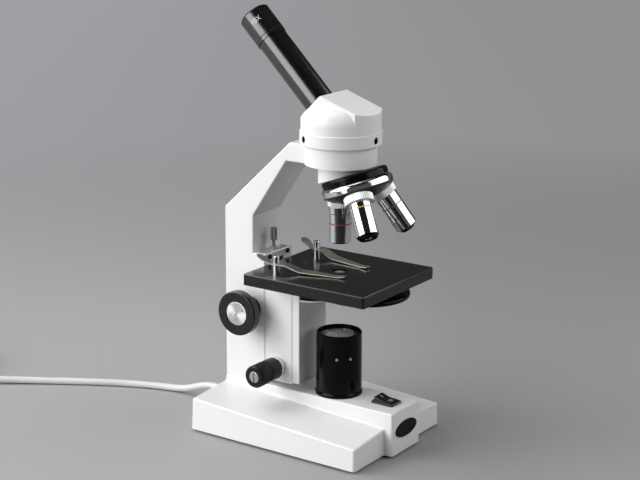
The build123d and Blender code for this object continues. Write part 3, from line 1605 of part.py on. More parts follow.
def corner_radii(points):
    """Bend radius at each inner point: as large as the two runs beside it allow."""
    radii = []
    for before, here, after in zip(points, points[1:], points[2:]):
        run_in = Vector(*here) - Vector(*before)
        run_out = Vector(*after) - Vector(*here)
        half_turn = math.radians(run_in.get_angle(run_out)) / 2
        radii.append(0.45 * min(run_in.length, run_out.length) / math.tan(half_turn))
    return radii


route_radii = corner_radii(cord_route)
print("cord bend radii", [round(radius, 1) for radius in route_radii])
with BuildPart() as power_cord:
    with BuildLine() as route_line:
        FilletPolyline(*cord_route, radius=route_radii)
    with BuildSketch(Plane(origin=route_line.wires()[0] @ 0, z_dir=route_line.wires()[0] % 0)):
        Circle(cord_d / 2)
    sweep(path=route_line.wires()[0])
power_cord.part.label = "power_cord"
export_step(power_cord.part, "parts/power_cord.step")
route_length = route_line.wires()[0].length
tube_ratio = power_cord.part.volume / (route_length * math.pi * cord_d ** 2 / 4)
print("cord route length", round(route_length, 1))
print("cord volume over section times length", round(tube_ratio, 4))

# Coil: half turns to the right that spiral in on the table, climb one layer and spiral out again
cord_heading = (-0.8, -0.6, 0.0)
coil_right = (-0.6, 0.8, 0.0)
coil_half_step = coil_turn_gap / 2
coil_outer_r = coil_inner_r + coil_half_turns_in * coil_half_step
coil_entry = along(cord_heading, coil_lead_in, cord_route[-1])
coil_centre = along(coil_right, coil_outer_r, coil_entry)
coil_start_angle = math.atan2(-coil_right[1], -coil_right[0])


def coil_nodes():
    """Point and heading at the end of each half turn of the coil."""
    nodes = []
    for count in range(coil_half_turns_in + coil_half_turns_out + 2):
        climbed = count > coil_half_turns_in
        steps_from_inside = count - coil_half_turns_in - 1 if climbed else coil_half_turns_in - count
        reach = coil_inner_r + steps_from_inside * coil_half_step
        height = coil_low_z + (coil_layer_gap if climbed else 0)
        angle = coil_start_angle - math.pi * count
        spoke = Vector(math.cos(angle), math.sin(angle), 0)
        spot = Vector(coil_centre.X, coil_centre.Y, height) + spoke * reach
        nodes.append((spot, Vector(math.sin(angle), -math.cos(angle), 0)))
    return nodes


def biarc(start, start_heading, end, end_heading):
    """Two arcs, tangent to each other, between two points with opposite headings."""
    reach = (end - start).length / 2
    first_corner = start + start_heading * reach
    second_corner = end - end_heading * reach
    middle = (first_corner + second_corner) / 2
    arcs = []
    for low, corner, high in ((start, first_corner, middle), (middle, second_corner, end)):
        chord_middle = (low + high) / 2
        spread = (high - low).length / 2
        rise = (corner - chord_middle).length
        half_angle = math.atan2(rise, spread)
        bulge = spread * math.tan(half_angle / 2)
        arcs.append((low, chord_middle + (corner - chord_middle).normalized() * bulge, high))
    return arcs


coil_spots = coil_nodes()
coil_arcs = []
for (start, start_heading), (end, end_heading) in zip(coil_spots, coil_spots[1:]):
    coil_arcs.extend(biarc(start, start_heading, end, end_heading))
coil_exit, exit_heading = coil_spots[-1]
plug_start = coil_exit + exit_heading * cord_tail
with BuildPart() as cord_coil:
    with BuildLine() as coil_line:
        Line(cord_route[-1], coil_entry)
        for low, middle, high in coil_arcs:
            ThreePointArc(low, middle, high)
        Line(coil_exit, plug_start)
    with BuildSketch(Plane(origin=cord_route[-1], z_dir=cord_heading)):
        Circle(cord_d / 2)
    sweep(path=coil_line.wires()[0])
cord_coil.part.label = "cord_coil"
export_step(cord_coil.part, "parts/cord_coil.step")
coil_length = coil_line.wires()[0].length
coil_ratio = cord_coil.part.volume / (coil_length * math.pi * cord_d ** 2 / 4)
print("coil length", round(coil_length, 1))
print("coil volume over section times length", round(coil_ratio, 4))
print("lead length", round(route_length + coil_length, 1))


def least_coil_gap(wire, count=1200):
    """Smallest space between stretches of the coil that aren't neighbours along it."""
    spots = [wire @ (step / count) for step in range(count + 1)]
    apart = int(math.ceil(3 * cord_d / (coil_length / count)))
    least = 1000.0
    for index, spot in enumerate(spots):
        for other in spots[index + apart:]:
            least = min(least, (other - spot).length)
    return least - cord_d


print("least gap in the coil", round(least_coil_gap(coil_line.wires()[0]), 2))

# Flat tie round the coil
tie_turn = coil_start_angle + math.pi
tie_spoke = (math.cos(tie_turn), math.sin(tie_turn), 0)
tie_inner = coil_inner_r - cord_d / 2 - 0.9
tie_outer = coil_outer_r - coil_half_step + cord_d / 2 + 0.9
tie_high = coil_low_z + coil_layer_gap + cord_d / 2 + 0.5
tie_thick = 0.9
tie_wide = 9.0
with BuildPart() as cord_tie:
    tie_plane = Plane(
        origin=(coil_centre.X, coil_centre.Y, 0),
        x_dir=tie_spoke,
        z_dir=(math.sin(tie_turn), -math.cos(tie_turn), 0),
    )
    with BuildSketch(tie_plane):
        with Locations(((tie_inner + tie_outer) / 2, (tie_high + tie_thick) / 2)):
            RectangleRounded(tie_outer - tie_inner + 2 * tie_thick, tie_high + tie_thick, 2.4)
        with Locations(((tie_inner + tie_outer) / 2, (tie_high + tie_thick) / 2)):
            RectangleRounded(tie_outer - tie_inner, tie_high - tie_thick, 1.6, mode=Mode.SUBTRACT)
    extrude(amount=tie_wide / 2, both=True)
cord_tie.part.label = "cord_tie"
export_step(cord_tie.part, "parts/cord_tie.step")

# Plug lying beside the coil
plug_dir = (exit_heading.X, exit_heading.Y, 0)
plug_across = (-exit_heading.Y, exit_heading.X, 0)
plug_half_high = coil_low_z + coil_layer_gap
plug_neck = 13.0
plug_long = 40.0
with BuildPart() as mains_plug:
    with BuildSketch(Plane(origin=plug_start, z_dir=plug_dir)):
        Circle(4.0)
    extrude(amount=14, taper=-6)
    plug_back = Plane(origin=along(plug_dir, plug_neck, plug_start), x_dir=plug_across, z_dir=plug_dir)
    with BuildSketch(plug_back):
        RectangleRounded(26, 2 * plug_half_high, 7)
    extrude(amount=plug_long - plug_neck)
    fillet(mains_plug.faces().filter_by(GeomType.PLANE).sort_by(SortBy.AREA)[-1].edges(), 1.5)
mains_plug.part.label = "mains_plug"
export_step(mains_plug.part, "parts/mains_plug.step")

with BuildPart() as plug_blades:
    plug_face = Plane(origin=along(plug_dir, plug_long, plug_start), x_dir=plug_across, z_dir=plug_dir)
    with BuildSketch(plug_face):
        with Locations((-6.35, 2), (6.35, 2)):
            Rectangle(1.5, 6.3)
        with Locations((0, -6)):
            Circle(2.4)
    extrude(amount=17)
plug_blades.part.label = "plug_blades"
export_step(plug_blades.part, "parts/plug_blades.step")
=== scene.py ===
import math

import bpy
from mathutils import Matrix, Quaternion, Vector


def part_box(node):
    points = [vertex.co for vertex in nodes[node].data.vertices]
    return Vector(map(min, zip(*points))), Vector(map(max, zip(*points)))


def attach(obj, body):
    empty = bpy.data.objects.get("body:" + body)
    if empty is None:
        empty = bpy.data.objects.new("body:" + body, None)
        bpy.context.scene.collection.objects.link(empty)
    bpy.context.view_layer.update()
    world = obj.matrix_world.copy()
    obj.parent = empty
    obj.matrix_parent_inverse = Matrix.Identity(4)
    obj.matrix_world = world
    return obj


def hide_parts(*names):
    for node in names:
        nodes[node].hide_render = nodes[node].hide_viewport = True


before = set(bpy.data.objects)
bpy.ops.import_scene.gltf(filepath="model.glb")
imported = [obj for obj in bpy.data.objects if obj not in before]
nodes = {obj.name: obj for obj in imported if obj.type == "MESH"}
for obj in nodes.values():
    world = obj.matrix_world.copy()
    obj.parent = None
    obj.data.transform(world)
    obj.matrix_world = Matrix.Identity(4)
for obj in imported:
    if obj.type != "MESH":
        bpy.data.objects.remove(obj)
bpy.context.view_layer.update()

scene = bpy.context.scene
scene.view_settings.view_transform = "Standard"
bpy.ops.object.select_all(action="DESELECT")

# Camera at the photograph's angle
camera_place = (0.7451, -1.0969, 0.5280)
view_turn = math.radians(34.19)
view_drop = math.radians(15.08)
view_roll = 0.0054
sensor_mm = 36
lens_mm = 91.2
bpy.ops.object.camera_add()
camera = bpy.context.object
camera.name = "photo_camera"
camera.data.sensor_width = sensor_mm
camera.data.lens = lens_mm
camera.matrix_world = (
    Matrix.Translation(camera_place)
    @ Matrix.Rotation(view_turn, 4, "Z")
    @ Matrix.Rotation(math.pi / 2 - view_drop, 4, "X")
    @ Matrix.Rotation(view_roll, 4, "Z")
)
scene.camera = camera

# Places taken from the CAD, in metres
apex = Vector((0.0203, 0, 0.268))
turret_tilt = math.radians(20)
turret_axis = Vector((math.sin(turret_tilt), 0, -math.cos(turret_tilt)))
turret_rim_low = 0.0508
tube_foot = Vector((0.001, 0, 0.2869))
tube_axis = Vector((-math.sqrt(0.5), 0, math.sqrt(0.5)))
coarse_axis = (-0.058, 0, 0.1054)
fine_axis = (-0.0305, 0, 0.057)
clip_posts_line = (-0.024, 0, 0)
clip_lean = math.radians(11.6)
lamp_axis = (0.0203, 0, 0)
lamp_lip_reach = 0.0132


def objective_look(turn):
    """Which way an objective points after a turn about the turret axis."""
    return Quaternion(turret_axis, math.radians(turn)) @ Vector((0, 0, -1))


look_4 = objective_look(0)
look_10 = objective_look(-120)
look_40 = objective_look(120)


# Node helpers for the finishes; an owner is a material or the room
def finish(name, sockets=None):
    """A new material; what is the same all over the surface is set on its shader."""
    material = bpy.data.materials.new(name)
    material.use_nodes = True
    shader = material.node_tree.nodes["Principled BSDF"]
    for socket, value in (sockets or {}).items():
        shader.inputs[socket].default_value = value
    return material


def add_node(owner, kind, **settings):
    made = owner.node_tree.nodes.new(kind)
    for setting, value in settings.items():
        setattr(made, setting, value)
    return made


def wire(owner, source, target):
    owner.node_tree.links.new(source, target)


def to_shader(material, source, socket):
    wire(material, source, material.node_tree.nodes["Principled BSDF"].inputs[socket])


def place_on(material, centre=(0, 0, 0), turn=(0, 0, 0), stretch=(1, 1, 1)):
    """Object coordinates, centred and turned on the piece, with the pattern drawn out by stretch."""
    coordinates = add_node(material, "ShaderNodeTexCoord")
    mapping = add_node(material, "ShaderNodeMapping", vector_type="TEXTURE")
    mapping.inputs["Location"].default_value = centre
    mapping.inputs["Rotation"].default_value = turn
    mapping.inputs["Scale"].default_value = stretch
    wire(material, coordinates.outputs["Object"], mapping.inputs["Vector"])
    return mapping.outputs["Vector"]


def mottle(material, place, scale, detail=2.0, roughness=0.5):
    """Cloudy pattern from 0 to 1; scale is in patches a metre."""
    noise = add_node(material, "ShaderNodeTexNoise")
    noise.inputs["Scale"].default_value = scale
    noise.inputs["Detail"].default_value = detail
    noise.inputs["Roughness"].default_value = roughness
    wire(material, place, noise.inputs["Vector"])
    return noise.outputs["Fac"]


def lathe_lines(material, distance, pitch):
    """Fine uneven lines that a lathe leaves, by distance along or from the axis."""
    noise = add_node(material, "ShaderNodeTexNoise", noise_dimensions="1D")
    noise.inputs["Scale"].default_value = 1 / pitch
    noise.inputs["Detail"].default_value = 2.0
    wire(material, distance, noise.inputs["W"])
    return noise.outputs["Fac"]


def ways(owner, place):
    """The x, y and z of a place."""
    split = add_node(owner, "ShaderNodeSeparateXYZ")
    wire(owner, place, split.inputs["Vector"])
    return split.outputs


def from_axis(material, place, keep):
    """Distance from an axis through the place's centre; keep is 0 along that axis."""
    flat = add_node(material, "ShaderNodeVectorMath", operation="MULTIPLY")
    flat.inputs[1].default_value = keep
    wire(material, place, flat.inputs[0])
    length = add_node(material, "ShaderNodeVectorMath", operation="LENGTH")
    wire(material, flat.outputs["Vector"], length.inputs[0])
    return length.outputs["Value"]


def sums(material, operation, first, second):
    """One sum; the second number may be a plain value."""
    step = add_node(material, "ShaderNodeMath", operation=operation)
    wire(material, first, step.inputs[0])
    if isinstance(second, (int, float)):
        step.inputs[1].default_value = second
    else:
        wire(material, second, step.inputs[1])
    return step.outputs["Value"]


def within(material, distance, middle, half):
    """1 where the distance is within half of the middle, and 0 elsewhere."""
    off = sums(material, "SUBTRACT", distance, middle)
    size = sums(material, "ABSOLUTE", off, 0.0)
    return sums(material, "LESS_THAN", size, half)


def level(material, amount, low, high, start=0.3, end=0.7):
    """A number from low to high as the amount goes from start to end."""
    spread = add_node(material, "ShaderNodeMapRange")
    spread.inputs["From Min"].default_value = start
    spread.inputs["From Max"].default_value = end
    spread.inputs["To Min"].default_value = low
    spread.inputs["To Max"].default_value = high
    wire(material, amount, spread.inputs["Value"])
    return spread.outputs["Result"]


def opposite(material, amount):
    """1 where the amount is 0, and 0 where it is 1."""
    return level(material, amount, low=1.0, high=0.0, start=0.0, end=1.0)


def tint(material, amount, dark, light, start=0.3, end=0.7):
    """A colour from dark to light as the amount goes from start to end."""
    ramp = add_node(material, "ShaderNodeValToRGB")
    ramp.color_ramp.elements[0].position = start
    ramp.color_ramp.elements[1].position = end
    ramp.color_ramp.elements[0].color = (*dark, 1)
    ramp.color_ramp.elements[1].color = (*light, 1)
    wire(material, amount, ramp.inputs["Fac"])
    return ramp.outputs["Color"]


def overlay(owner, amount, under, over):
    """The colour under, with a plain colour over it by the amount."""
    mix = add_node(owner, "ShaderNodeMix", data_type="RGBA")
    wire(owner, amount, mix.inputs["Factor"])
    wire(owner, under, mix.inputs["A"])
    mix.inputs["B"].default_value = (*over, 1)
    return mix.outputs["Result"]


def relief(material, height, depth, strength=1.0):
    """Small bumps of a depth in metres."""
    bump = add_node(material, "ShaderNodeBump")
    bump.inputs["Distance"].default_value = depth
    bump.inputs["Strength"].default_value = strength
    wire(material, height, bump.inputs["Height"])
    return bump.outputs["Normal"]


def dimmed(colour, share):
    return tuple(share * part for part in colour)


# Finishes
round_y = (1, 0, 1)
round_z = (1, 1, 0)
lathe_pitch = 0.00022
paint_edge = 0.0002
blackened = (0.02, 0.02, 0.022)


def sprayed_paint(name, dark, light, rough, peel, sockets=None):
    """Sprayed enamel: slow drift of colour and gloss, fine grain and orange peel."""
    drift_share = 0.7
    grain_share = 0.3
    paint = finish(name, sockets)
    place = place_on(paint)
    drift = sums(paint, "MULTIPLY", mottle(paint, place, scale=11), drift_share)
    grain = sums(paint, "MULTIPLY", mottle(paint, place, scale=1900), grain_share)
    cloud = sums(paint, "ADD", drift, grain)
    gloss = mottle(paint, place, scale=40, detail=3)
    bumps = mottle(paint, place, scale=420, detail=1)
    to_shader(paint, tint(paint, cloud, dark, light, start=0.2, end=0.8), "Base Color")
    to_shader(paint, level(paint, gloss, *rough, start=0.2, end=0.8), "Roughness")
    to_shader(paint, relief(paint, bumps, depth=0.00006, strength=peel), "Normal")
    return paint


def moulded_plastic(name, dark, light, rough, grain, sockets=None):
    """Moulded plastic or rubber: faint flow marks and an even fine grain."""
    plastic = finish(name, sockets)
    place = place_on(plastic)
    flow = mottle(plastic, place, scale=35, detail=4, roughness=0.6)
    gloss = mottle(plastic, place, scale=160, detail=3)
    bumps = mottle(plastic, place, scale=grain, detail=2, roughness=0.6)
    to_shader(plastic, tint(plastic, flow, dark, light), "Base Color")
    to_shader(plastic, level(plastic, gloss, *rough), "Roughness")
    to_shader(plastic, relief(plastic, bumps, depth=0.00005, strength=0.25), "Normal")
    return plastic


def turned_metal(name, colour, rough, centre, keep, cut):
    """Metal off the lathe: rings of a depth cut round one axis, and a little tarnish."""
    metal = finish(name, {"Metallic": 1.0})
    place = place_on(metal, centre)
    rings = lathe_lines(metal, from_axis(metal, place, keep), lathe_pitch)
    steps = lathe_lines(metal, ways(metal, place)[keep.index(0)], lathe_pitch)
    lines = sums(metal, "MULTIPLY", sums(metal, "ADD", rings, steps), 0.5)
    smear = mottle(metal, place, scale=130, detail=3)
    tone = tint(metal, lines, dimmed(colour, 0.86), colour, start=0.35, end=0.65)
    to_shader(metal, tone, "Base Color")
    to_shader(metal, level(metal, smear, *rough), "Roughness")
    to_shader(metal, relief(metal, lines, depth=cut), "Normal")
    return metal


def spun_cap(name, colour, centre, axis):
    """Spun metal face: rings about an axis that draw the light out into bright sectors."""
    metal = finish(name, {"Metallic": 1.0, "Anisotropic": 0.85})
    place = place_on(metal, centre)
    around = add_node(metal, "ShaderNodeVectorMath", operation="CROSS_PRODUCT")
    around.inputs[1].default_value = axis
    wire(metal, place, around.inputs[0])
    turned = add_node(metal, "ShaderNodeVectorTransform", convert_from="OBJECT", convert_to="WORLD")
    wire(metal, around.outputs["Vector"], turned.inputs["Vector"])
    rings = lathe_lines(metal, from_axis(metal, place, round_y), pitch=0.0005)
    smear = mottle(metal, place, scale=300)
    tone = tint(metal, rings, dimmed(colour, 0.88), colour, start=0.35, end=0.65)
    to_shader(metal, turned.outputs["Vector"], "Tangent")
    to_shader(metal, tone, "Base Color")
    to_shader(metal, level(metal, smear, low=0.26, high=0.34), "Roughness")
    return metal


def brushed_metal(name, colour, rough, grain_turn=0.0):
    """Rolled or brushed metal: long scratches along the piece's x, or turned from it about z."""
    metal = finish(name, {"Metallic": 1.0})
    place = place_on(metal, turn=(0, 0, grain_turn), stretch=(18, 1, 1))
    scratches = mottle(metal, place, scale=2600, detail=3, roughness=0.7)
    smear = mottle(metal, place_on(metal), scale=90, detail=3)
    tone = tint(metal, scratches, dimmed(colour, 0.82), colour, start=0.35, end=0.65)
    to_shader(metal, tone, "Base Color")
    to_shader(metal, level(metal, smear, *rough), "Roughness")
    to_shader(metal, relief(metal, scratches, depth=0.00003, strength=0.4), "Normal")
    return metal


def objective_chrome(name, look, grip_end, band_at, band_colour, nose_at):
    """Polished barrel: lathe lines, a duller grip ring, one painted band and a black nose."""
    band_half = 0.0006
    grip_edge = 0.0004
    grip_dull = 0.45
    band_dull = 0.2
    chrome = finish(name, {"IOR": 2.2})
    lean = Vector((0, 0, -1)).rotation_difference(look).to_euler()
    place = place_on(chrome, apex, lean)
    height = sums(chrome, "MULTIPLY", ways(chrome, place)["Z"], -1.0)
    lines = lathe_lines(chrome, height, pitch=0.00025)
    metal = tint(chrome, lines, dark=(0.72, 0.73, 0.74), light=(0.82, 0.83, 0.84))
    band = within(chrome, height, band_at, band_half)
    nose = sums(chrome, "GREATER_THAN", height, nose_at)
    painted_metal = overlay(chrome, band, metal, band_colour)
    grip = level(chrome, height, grip_dull, 0.0, start=grip_end, end=grip_end + grip_edge)
    smear = level(chrome, mottle(chrome, place, scale=120, detail=3), low=0.05, high=0.1)
    painted = sums(chrome, "MULTIPLY", band, band_dull)
    rough = sums(chrome, "ADD", sums(chrome, "ADD", smear, grip), painted)
    to_shader(chrome, overlay(chrome, nose, painted_metal, blackened), "Base Color")
    to_shader(chrome, opposite(chrome, band), "Metallic")
    to_shader(chrome, rough, "Roughness")
    to_shader(chrome, relief(chrome, lines, depth=0.00001, strength=0.12), "Normal")
    return chrome


def rimmed_turret(name):
    """Chromed rim with lathe lines round the turret's axis, and below the rim a flat black underside that
    is a painted dark reflection standing in for the chrome.
    """
    under_dull = 0.2
    turret = finish(name)
    place = place_on(turret, apex, (0, -turret_tilt, 0))
    height = sums(turret, "MULTIPLY", ways(turret, place)["Z"], -1.0)
    # painted dark reflection: the turret below the rim is drawn flat black instead of chrome
    under = level(turret, height, 0.0, 1.0, start=turret_rim_low, end=turret_rim_low + paint_edge)
    lines = lathe_lines(turret, height, lathe_pitch)
    bright = tint(turret, lines, (0.66, 0.66, 0.68), (0.74, 0.74, 0.76), start=0.35, end=0.65)
    smear = level(turret, mottle(turret, place, scale=130, detail=3), low=0.08, high=0.15)
    rough = sums(turret, "ADD", smear, sums(turret, "MULTIPLY", under, under_dull))
    to_shader(turret, overlay(turret, under, bright, (0.006, 0.006, 0.007)), "Base Color")
    to_shader(turret, opposite(turret, under), "Metallic")
    to_shader(turret, rough, "Roughness")
    to_shader(turret, relief(turret, lines, depth=0.000005), "Normal")
    return turret


def lens_glass(name, colour, clean, clear):
    """Ground lens: clear or a little milky, with a trace of wiping marks."""
    wiped = clean + 0.03
    glass = finish(name, {"Transmission Weight": clear, "IOR": 1.52})
    wipe = mottle(glass, place_on(glass), scale=240, detail=4, roughness=0.6)
    to_shader(glass, tint(glass, wipe, dimmed(colour, 0.97), colour), "Base Color")
    to_shader(glass, level(glass, wipe, clean, wiped), "Roughness")
    return glass


def lipped_ring(name):
    """Black ring round the lamp's axis, rubbed bright on its inner lip."""
    ring = finish(name, {"Specular IOR Level": 0.3})
    place = place_on(ring, lamp_axis)
    reach = from_axis(ring, place, round_z)
    lip = level(ring, reach, 1.0, 0.0, start=lamp_lip_reach, end=lamp_lip_reach + paint_edge)
    lines = lathe_lines(ring, reach, pitch=0.0003)
    black = tint(ring, lines, dark=(0.003, 0.003, 0.003), light=(0.007, 0.007, 0.007))
    to_shader(ring, overlay(ring, lip, black, (0.8, 0.8, 0.82)), "Base Color")
    to_shader(ring, lip, "Metallic")
    to_shader(ring, level(ring, mottle(ring, place, scale=200), low=0.18, high=0.28), "Roughness")
    return ring


def letter_ink(name, dark, light):
    """Paint wiped into or printed as letters, a little uneven."""
    ink = finish(name, {"IOR": 1.45})
    uneven = mottle(ink, place_on(ink), scale=1400)
    to_shader(ink, tint(ink, uneven, dark, light), "Base Color")
    to_shader(ink, level(ink, uneven, low=0.4, high=0.55), "Roughness")
    to_shader(ink, relief(ink, uneven, depth=0.00002, strength=0.3), "Normal")
    return ink


white_enamel = sprayed_paint(
    "white_enamel", dark=(0.79, 0.79, 0.78), light=(0.82, 0.82, 0.81), rough=(0.34, 0.42), peel=0.12,
    sockets={"Coat Weight": 0.08, "Coat Roughness": 0.15},
)
stage_enamel = sprayed_paint(
    "stage_enamel", dark=(0.003, 0.003, 0.004), light=(0.005, 0.005, 0.006), rough=(0.17, 0.22), peel=0.03,
)
deep_black = (0.0015, 0.0015, 0.0015)
soft_black = (0.003, 0.003, 0.003)
black_enamel = sprayed_paint(
    "black_enamel", deep_black, soft_black, rough=(0.16, 0.22), peel=0.06,
    sockets={"Specular IOR Level": 0.12},
)
tube_black = sprayed_paint(
    "tube_black", deep_black, soft_black, rough=(0.19, 0.23), peel=0.04, sockets={"IOR": 1.9},
)
eyepiece_black = sprayed_paint(
    "eyepiece_black", deep_black, soft_black, rough=(0.21, 0.26), peel=0.04, sockets={"IOR": 1.9},
)
sheet_black = sprayed_paint(
    "sheet_black", dark=(0.03, 0.03, 0.032), light=(0.045, 0.045, 0.047), rough=(0.42, 0.55), peel=0.2,
)
knob_black = moulded_plastic(
    "knob_black", dark=(0.005, 0.0055, 0.006), light=(0.008, 0.009, 0.01), rough=(0.16, 0.22), grain=2400,
)
fine_knob_black = moulded_plastic(
    "fine_knob_black", dark=(0.003, 0.003, 0.003), light=(0.007, 0.007, 0.007), rough=(0.3, 0.4),
    grain=1800, sockets={"Specular IOR Level": 0.3},
)
switch_black = moulded_plastic(
    "switch_black", dark=(0.01, 0.01, 0.011), light=(0.016, 0.016, 0.017), rough=(0.26, 0.36), grain=2800,
    sockets={"IOR": 1.52},
)
badge_black = moulded_plastic(
    "badge_black", dark=(0.003, 0.0025, 0.002), light=(0.005, 0.004, 0.003), rough=(0.25, 0.35),
    grain=2200, sockets={"Specular IOR Level": 0.15},
)
foot_rubber = moulded_plastic(
    "foot_rubber", dark=(0.012, 0.012, 0.012), light=(0.022, 0.022, 0.022), rough=(0.6, 0.75), grain=1500,
)
cord_grey = moulded_plastic(
    "cord_grey", dark=(0.62, 0.62, 0.605), light=(0.68, 0.68, 0.67), rough=(0.36, 0.46), grain=1700,
)
plug_grey = moulded_plastic(
    "plug_grey", dark=(0.61, 0.61, 0.595), light=(0.68, 0.68, 0.665), rough=(0.4, 0.52), grain=1300,
)
tie_black = moulded_plastic(
    "tie_black", dark=(0.012, 0.012, 0.013), light=(0.02, 0.02, 0.022), rough=(0.38, 0.5), grain=1900,
)
socket_ceramic = moulded_plastic(
    "socket_ceramic", dark=(0.66, 0.62, 0.55), light=(0.74, 0.70, 0.63), rough=(0.4, 0.55), grain=900,
)
cap_aluminium = spun_cap("cap_aluminium", (0.9, 0.91, 0.93), coarse_axis, axis=(0, 1, 0))
sleeve_aluminium = turned_metal(
    "sleeve_aluminium", (0.80, 0.80, 0.81), rough=(0.2, 0.3), centre=fine_axis, keep=round_y, cut=0.00002,
)
shaft_steel = turned_metal(
    "shaft_steel", (0.62, 0.62, 0.62), rough=(0.16, 0.26), centre=fine_axis, keep=round_y, cut=0.00002,
)
post_steel = turned_metal(
    "post_steel", (0.78, 0.78, 0.79), rough=(0.08, 0.16), centre=clip_posts_line, keep=round_z, cut=0.00001,
)
lens_ring_black = lipped_ring("lens_ring_black")
plate_aluminium = brushed_metal(
    "plate_aluminium", (0.82, 0.83, 0.82), rough=(0.45, 0.55), grain_turn=math.pi / 2,
)
gear_brass = brushed_metal("gear_brass", (0.70, 0.53, 0.24), rough=(0.26, 0.38), grain_turn=math.pi / 2)
screw_steel = brushed_metal("screw_steel", (0.62, 0.61, 0.60), rough=(0.24, 0.36))
blackened_steel = brushed_metal("blackened_steel", blackened, rough=(0.3, 0.42))
dull_nickel = brushed_metal("dull_nickel", (0.36, 0.37, 0.36), rough=(0.3, 0.4))
clip_tone = (0.56, 0.53, 0.47)
clip_near_steel = brushed_metal("clip_near_steel", clip_tone, rough=(0.4, 0.5), grain_turn=clip_lean)
clip_far_steel = brushed_metal("clip_far_steel", clip_tone, rough=(0.4, 0.5), grain_turn=-clip_lean)
turret_chrome = rimmed_turret("turret_chrome")
chrome_4 = objective_chrome(
    "chrome_4", look_4, grip_end=0.0644, band_at=0.079, band_colour=(0.24, 0.015, 0.03), nose_at=0.0947,
)
chrome_10 = objective_chrome(
    "chrome_10", look_10, grip_end=0.0664, band_at=0.0715, band_colour=(0.5, 0.34, 0.07), nose_at=0.0943,
)
chrome_40 = objective_chrome(
    "chrome_40", look_40, grip_end=0.066, band_at=0.076, band_colour=(0.05, 0.15, 0.27), nose_at=0.0977,
)
clear_lens = lens_glass("clear_lens", (0.95, 0.97, 0.98), clean=0.0, clear=1.0)
lamp_glass = lens_glass("lamp_glass", (0.94, 0.95, 0.97), clean=0.0, clear=0.76)
condenser_glass = lens_glass("condenser_glass", (0.94, 0.95, 0.96), clean=0.0, clear=0.8)
bulb_glass = lens_glass("bulb_glass", (0.96, 0.95, 0.92), clean=0.15, clear=1.0)
white_ink = letter_ink("white_ink", dark=(0.70, 0.70, 0.68), light=(0.80, 0.80, 0.78))
dark_ink = letter_ink("dark_ink", dark=(0.012, 0.012, 0.012), light=(0.03, 0.03, 0.03))

finish_of = {
    white_enamel: [
        "base_casting", "arm_casting", "coarse_block", "front_plate", "head_housing", "nosepiece_mount",
    ],
    stage_enamel: ["stage_plate"],
    black_enamel: ["stage_bracket", "lamp_house", "nosepiece_plate", "diaphragm_disc"],
    tube_black: ["body_tube"],
    eyepiece_black: ["eyepiece_barrel"],
    sheet_black: ["bottom_plate"],
    knob_black: ["coarse_knobs"],
    fine_knob_black: ["fine_knobs"],
    switch_black: ["switch_body", "switch_rocker"],
    badge_black: ["badge_plate"],
    foot_rubber: ["rubber_feet"],
    cord_grey: ["power_cord", "cord_coil"],
    plug_grey: ["cord_gland", "mains_plug"],
    tie_black: ["cord_tie"],
    socket_ceramic: ["lamp_socket"],
    cap_aluminium: ["coarse_caps"],
    sleeve_aluminium: ["fine_sleeves"],
    lens_ring_black: ["lamp_lens_ring"],
    plate_aluminium: ["slide_cap"],
    screw_steel: [
        "foot_screws", "arm_bolts", "stop_nut", "stage_screws", "diaphragm_screw", "turret_screw",
        "lamp_screws", "fine_knob_screws",
    ],
    post_steel: ["clip_posts"],
    shaft_steel: ["pinion_shaft", "fine_shaft"],
    blackened_steel: ["slide_cap_screws", "head_screws"],
    dull_nickel: ["stop_screw"],
    clip_near_steel: ["clip_near"],
    clip_far_steel: ["clip_far"],
    gear_brass: ["coarse_rack", "pinion_bushes", "wedge_nut", "plug_blades"],
    turret_chrome: ["turret"],
    chrome_4: ["objective_4"],
    chrome_10: ["objective_10"],
    chrome_40: ["objective_40"],
    clear_lens: ["prism", "eyepiece_lenses", "objective_lenses"],
    lamp_glass: ["lamp_lens"],
    condenser_glass: ["condenser_lens"],
    bulb_glass: ["lamp_bulb"],
}
for material, names in finish_of.items():
    for name in names:
        nodes[name].data.materials.clear()
        nodes[name].data.materials.append(material)

# Mains lead: the route out of the base, then the coil, in one smooth line
cord_thick = 0.0062
cord_route = [
    (-0.1085, 0.0, 0.015),
    (-0.1185, 0.0, 0.015),
    (-0.1285, 0.0001, 0.0132),
    (-0.139, 0.0003, 0.009),
    (-0.151, 0.0005, 0.0049),
    (-0.165, -0.0008, 0.0034),
    (-0.184, -0.0058, 0.0032),
    (-0.213, -0.018, 0.0031),
    (-0.246, -0.0365, 0.0031),
    (-0.281, -0.0585, 0.0033),
    (-0.3155, -0.0822, 0.0046),
    (-0.3487, -0.1071, 0.0046),
]
heading = Vector((-0.8, -0.6, 0))
to_middle = Vector((-0.6, 0.8, 0))
lead_in = 0.021
inner_turn = 0.0225
half_step = 0.004
half_turns_in = 6
half_turns_out = 5
half_turns = half_turns_in + 1 + half_turns_out
low_layer = 0.0046
layer_gap = 0.0071
cord_tail = 0.028
outer_turn = inner_turn + half_turns_in * half_step
coil_entry = Vector(cord_route[-1]) + heading * lead_in
coil_middle = coil_entry + to_middle * outer_turn
first_angle = math.atan2(-to_middle.y, -to_middle.x)
points_a_half = 8
corner_reach = 1 / math.cos(math.pi / points_a_half / 2)
cord_points = [Vector(point) for point in cord_route]
for count in range(half_turns * points_a_half):
    turned = (count + 0.5) / points_a_half
    climb = min(max(turned - half_turns_in, 0), 1)
    steps_out = max(half_turns_in - turned, 0) + max(turned - half_turns_in - 1, 0)
    reach = (inner_turn + steps_out * half_step) * corner_reach
    angle = first_angle - math.pi * turned
    height = low_layer + layer_gap * climb * climb * (3 - 2 * climb)
    spoke = Vector((math.cos(angle), math.sin(angle), 0))
    cord_points.append(Vector((coil_middle.x, coil_middle.y, height)) + spoke * reach)
last_reach = inner_turn + half_turns_out * half_step
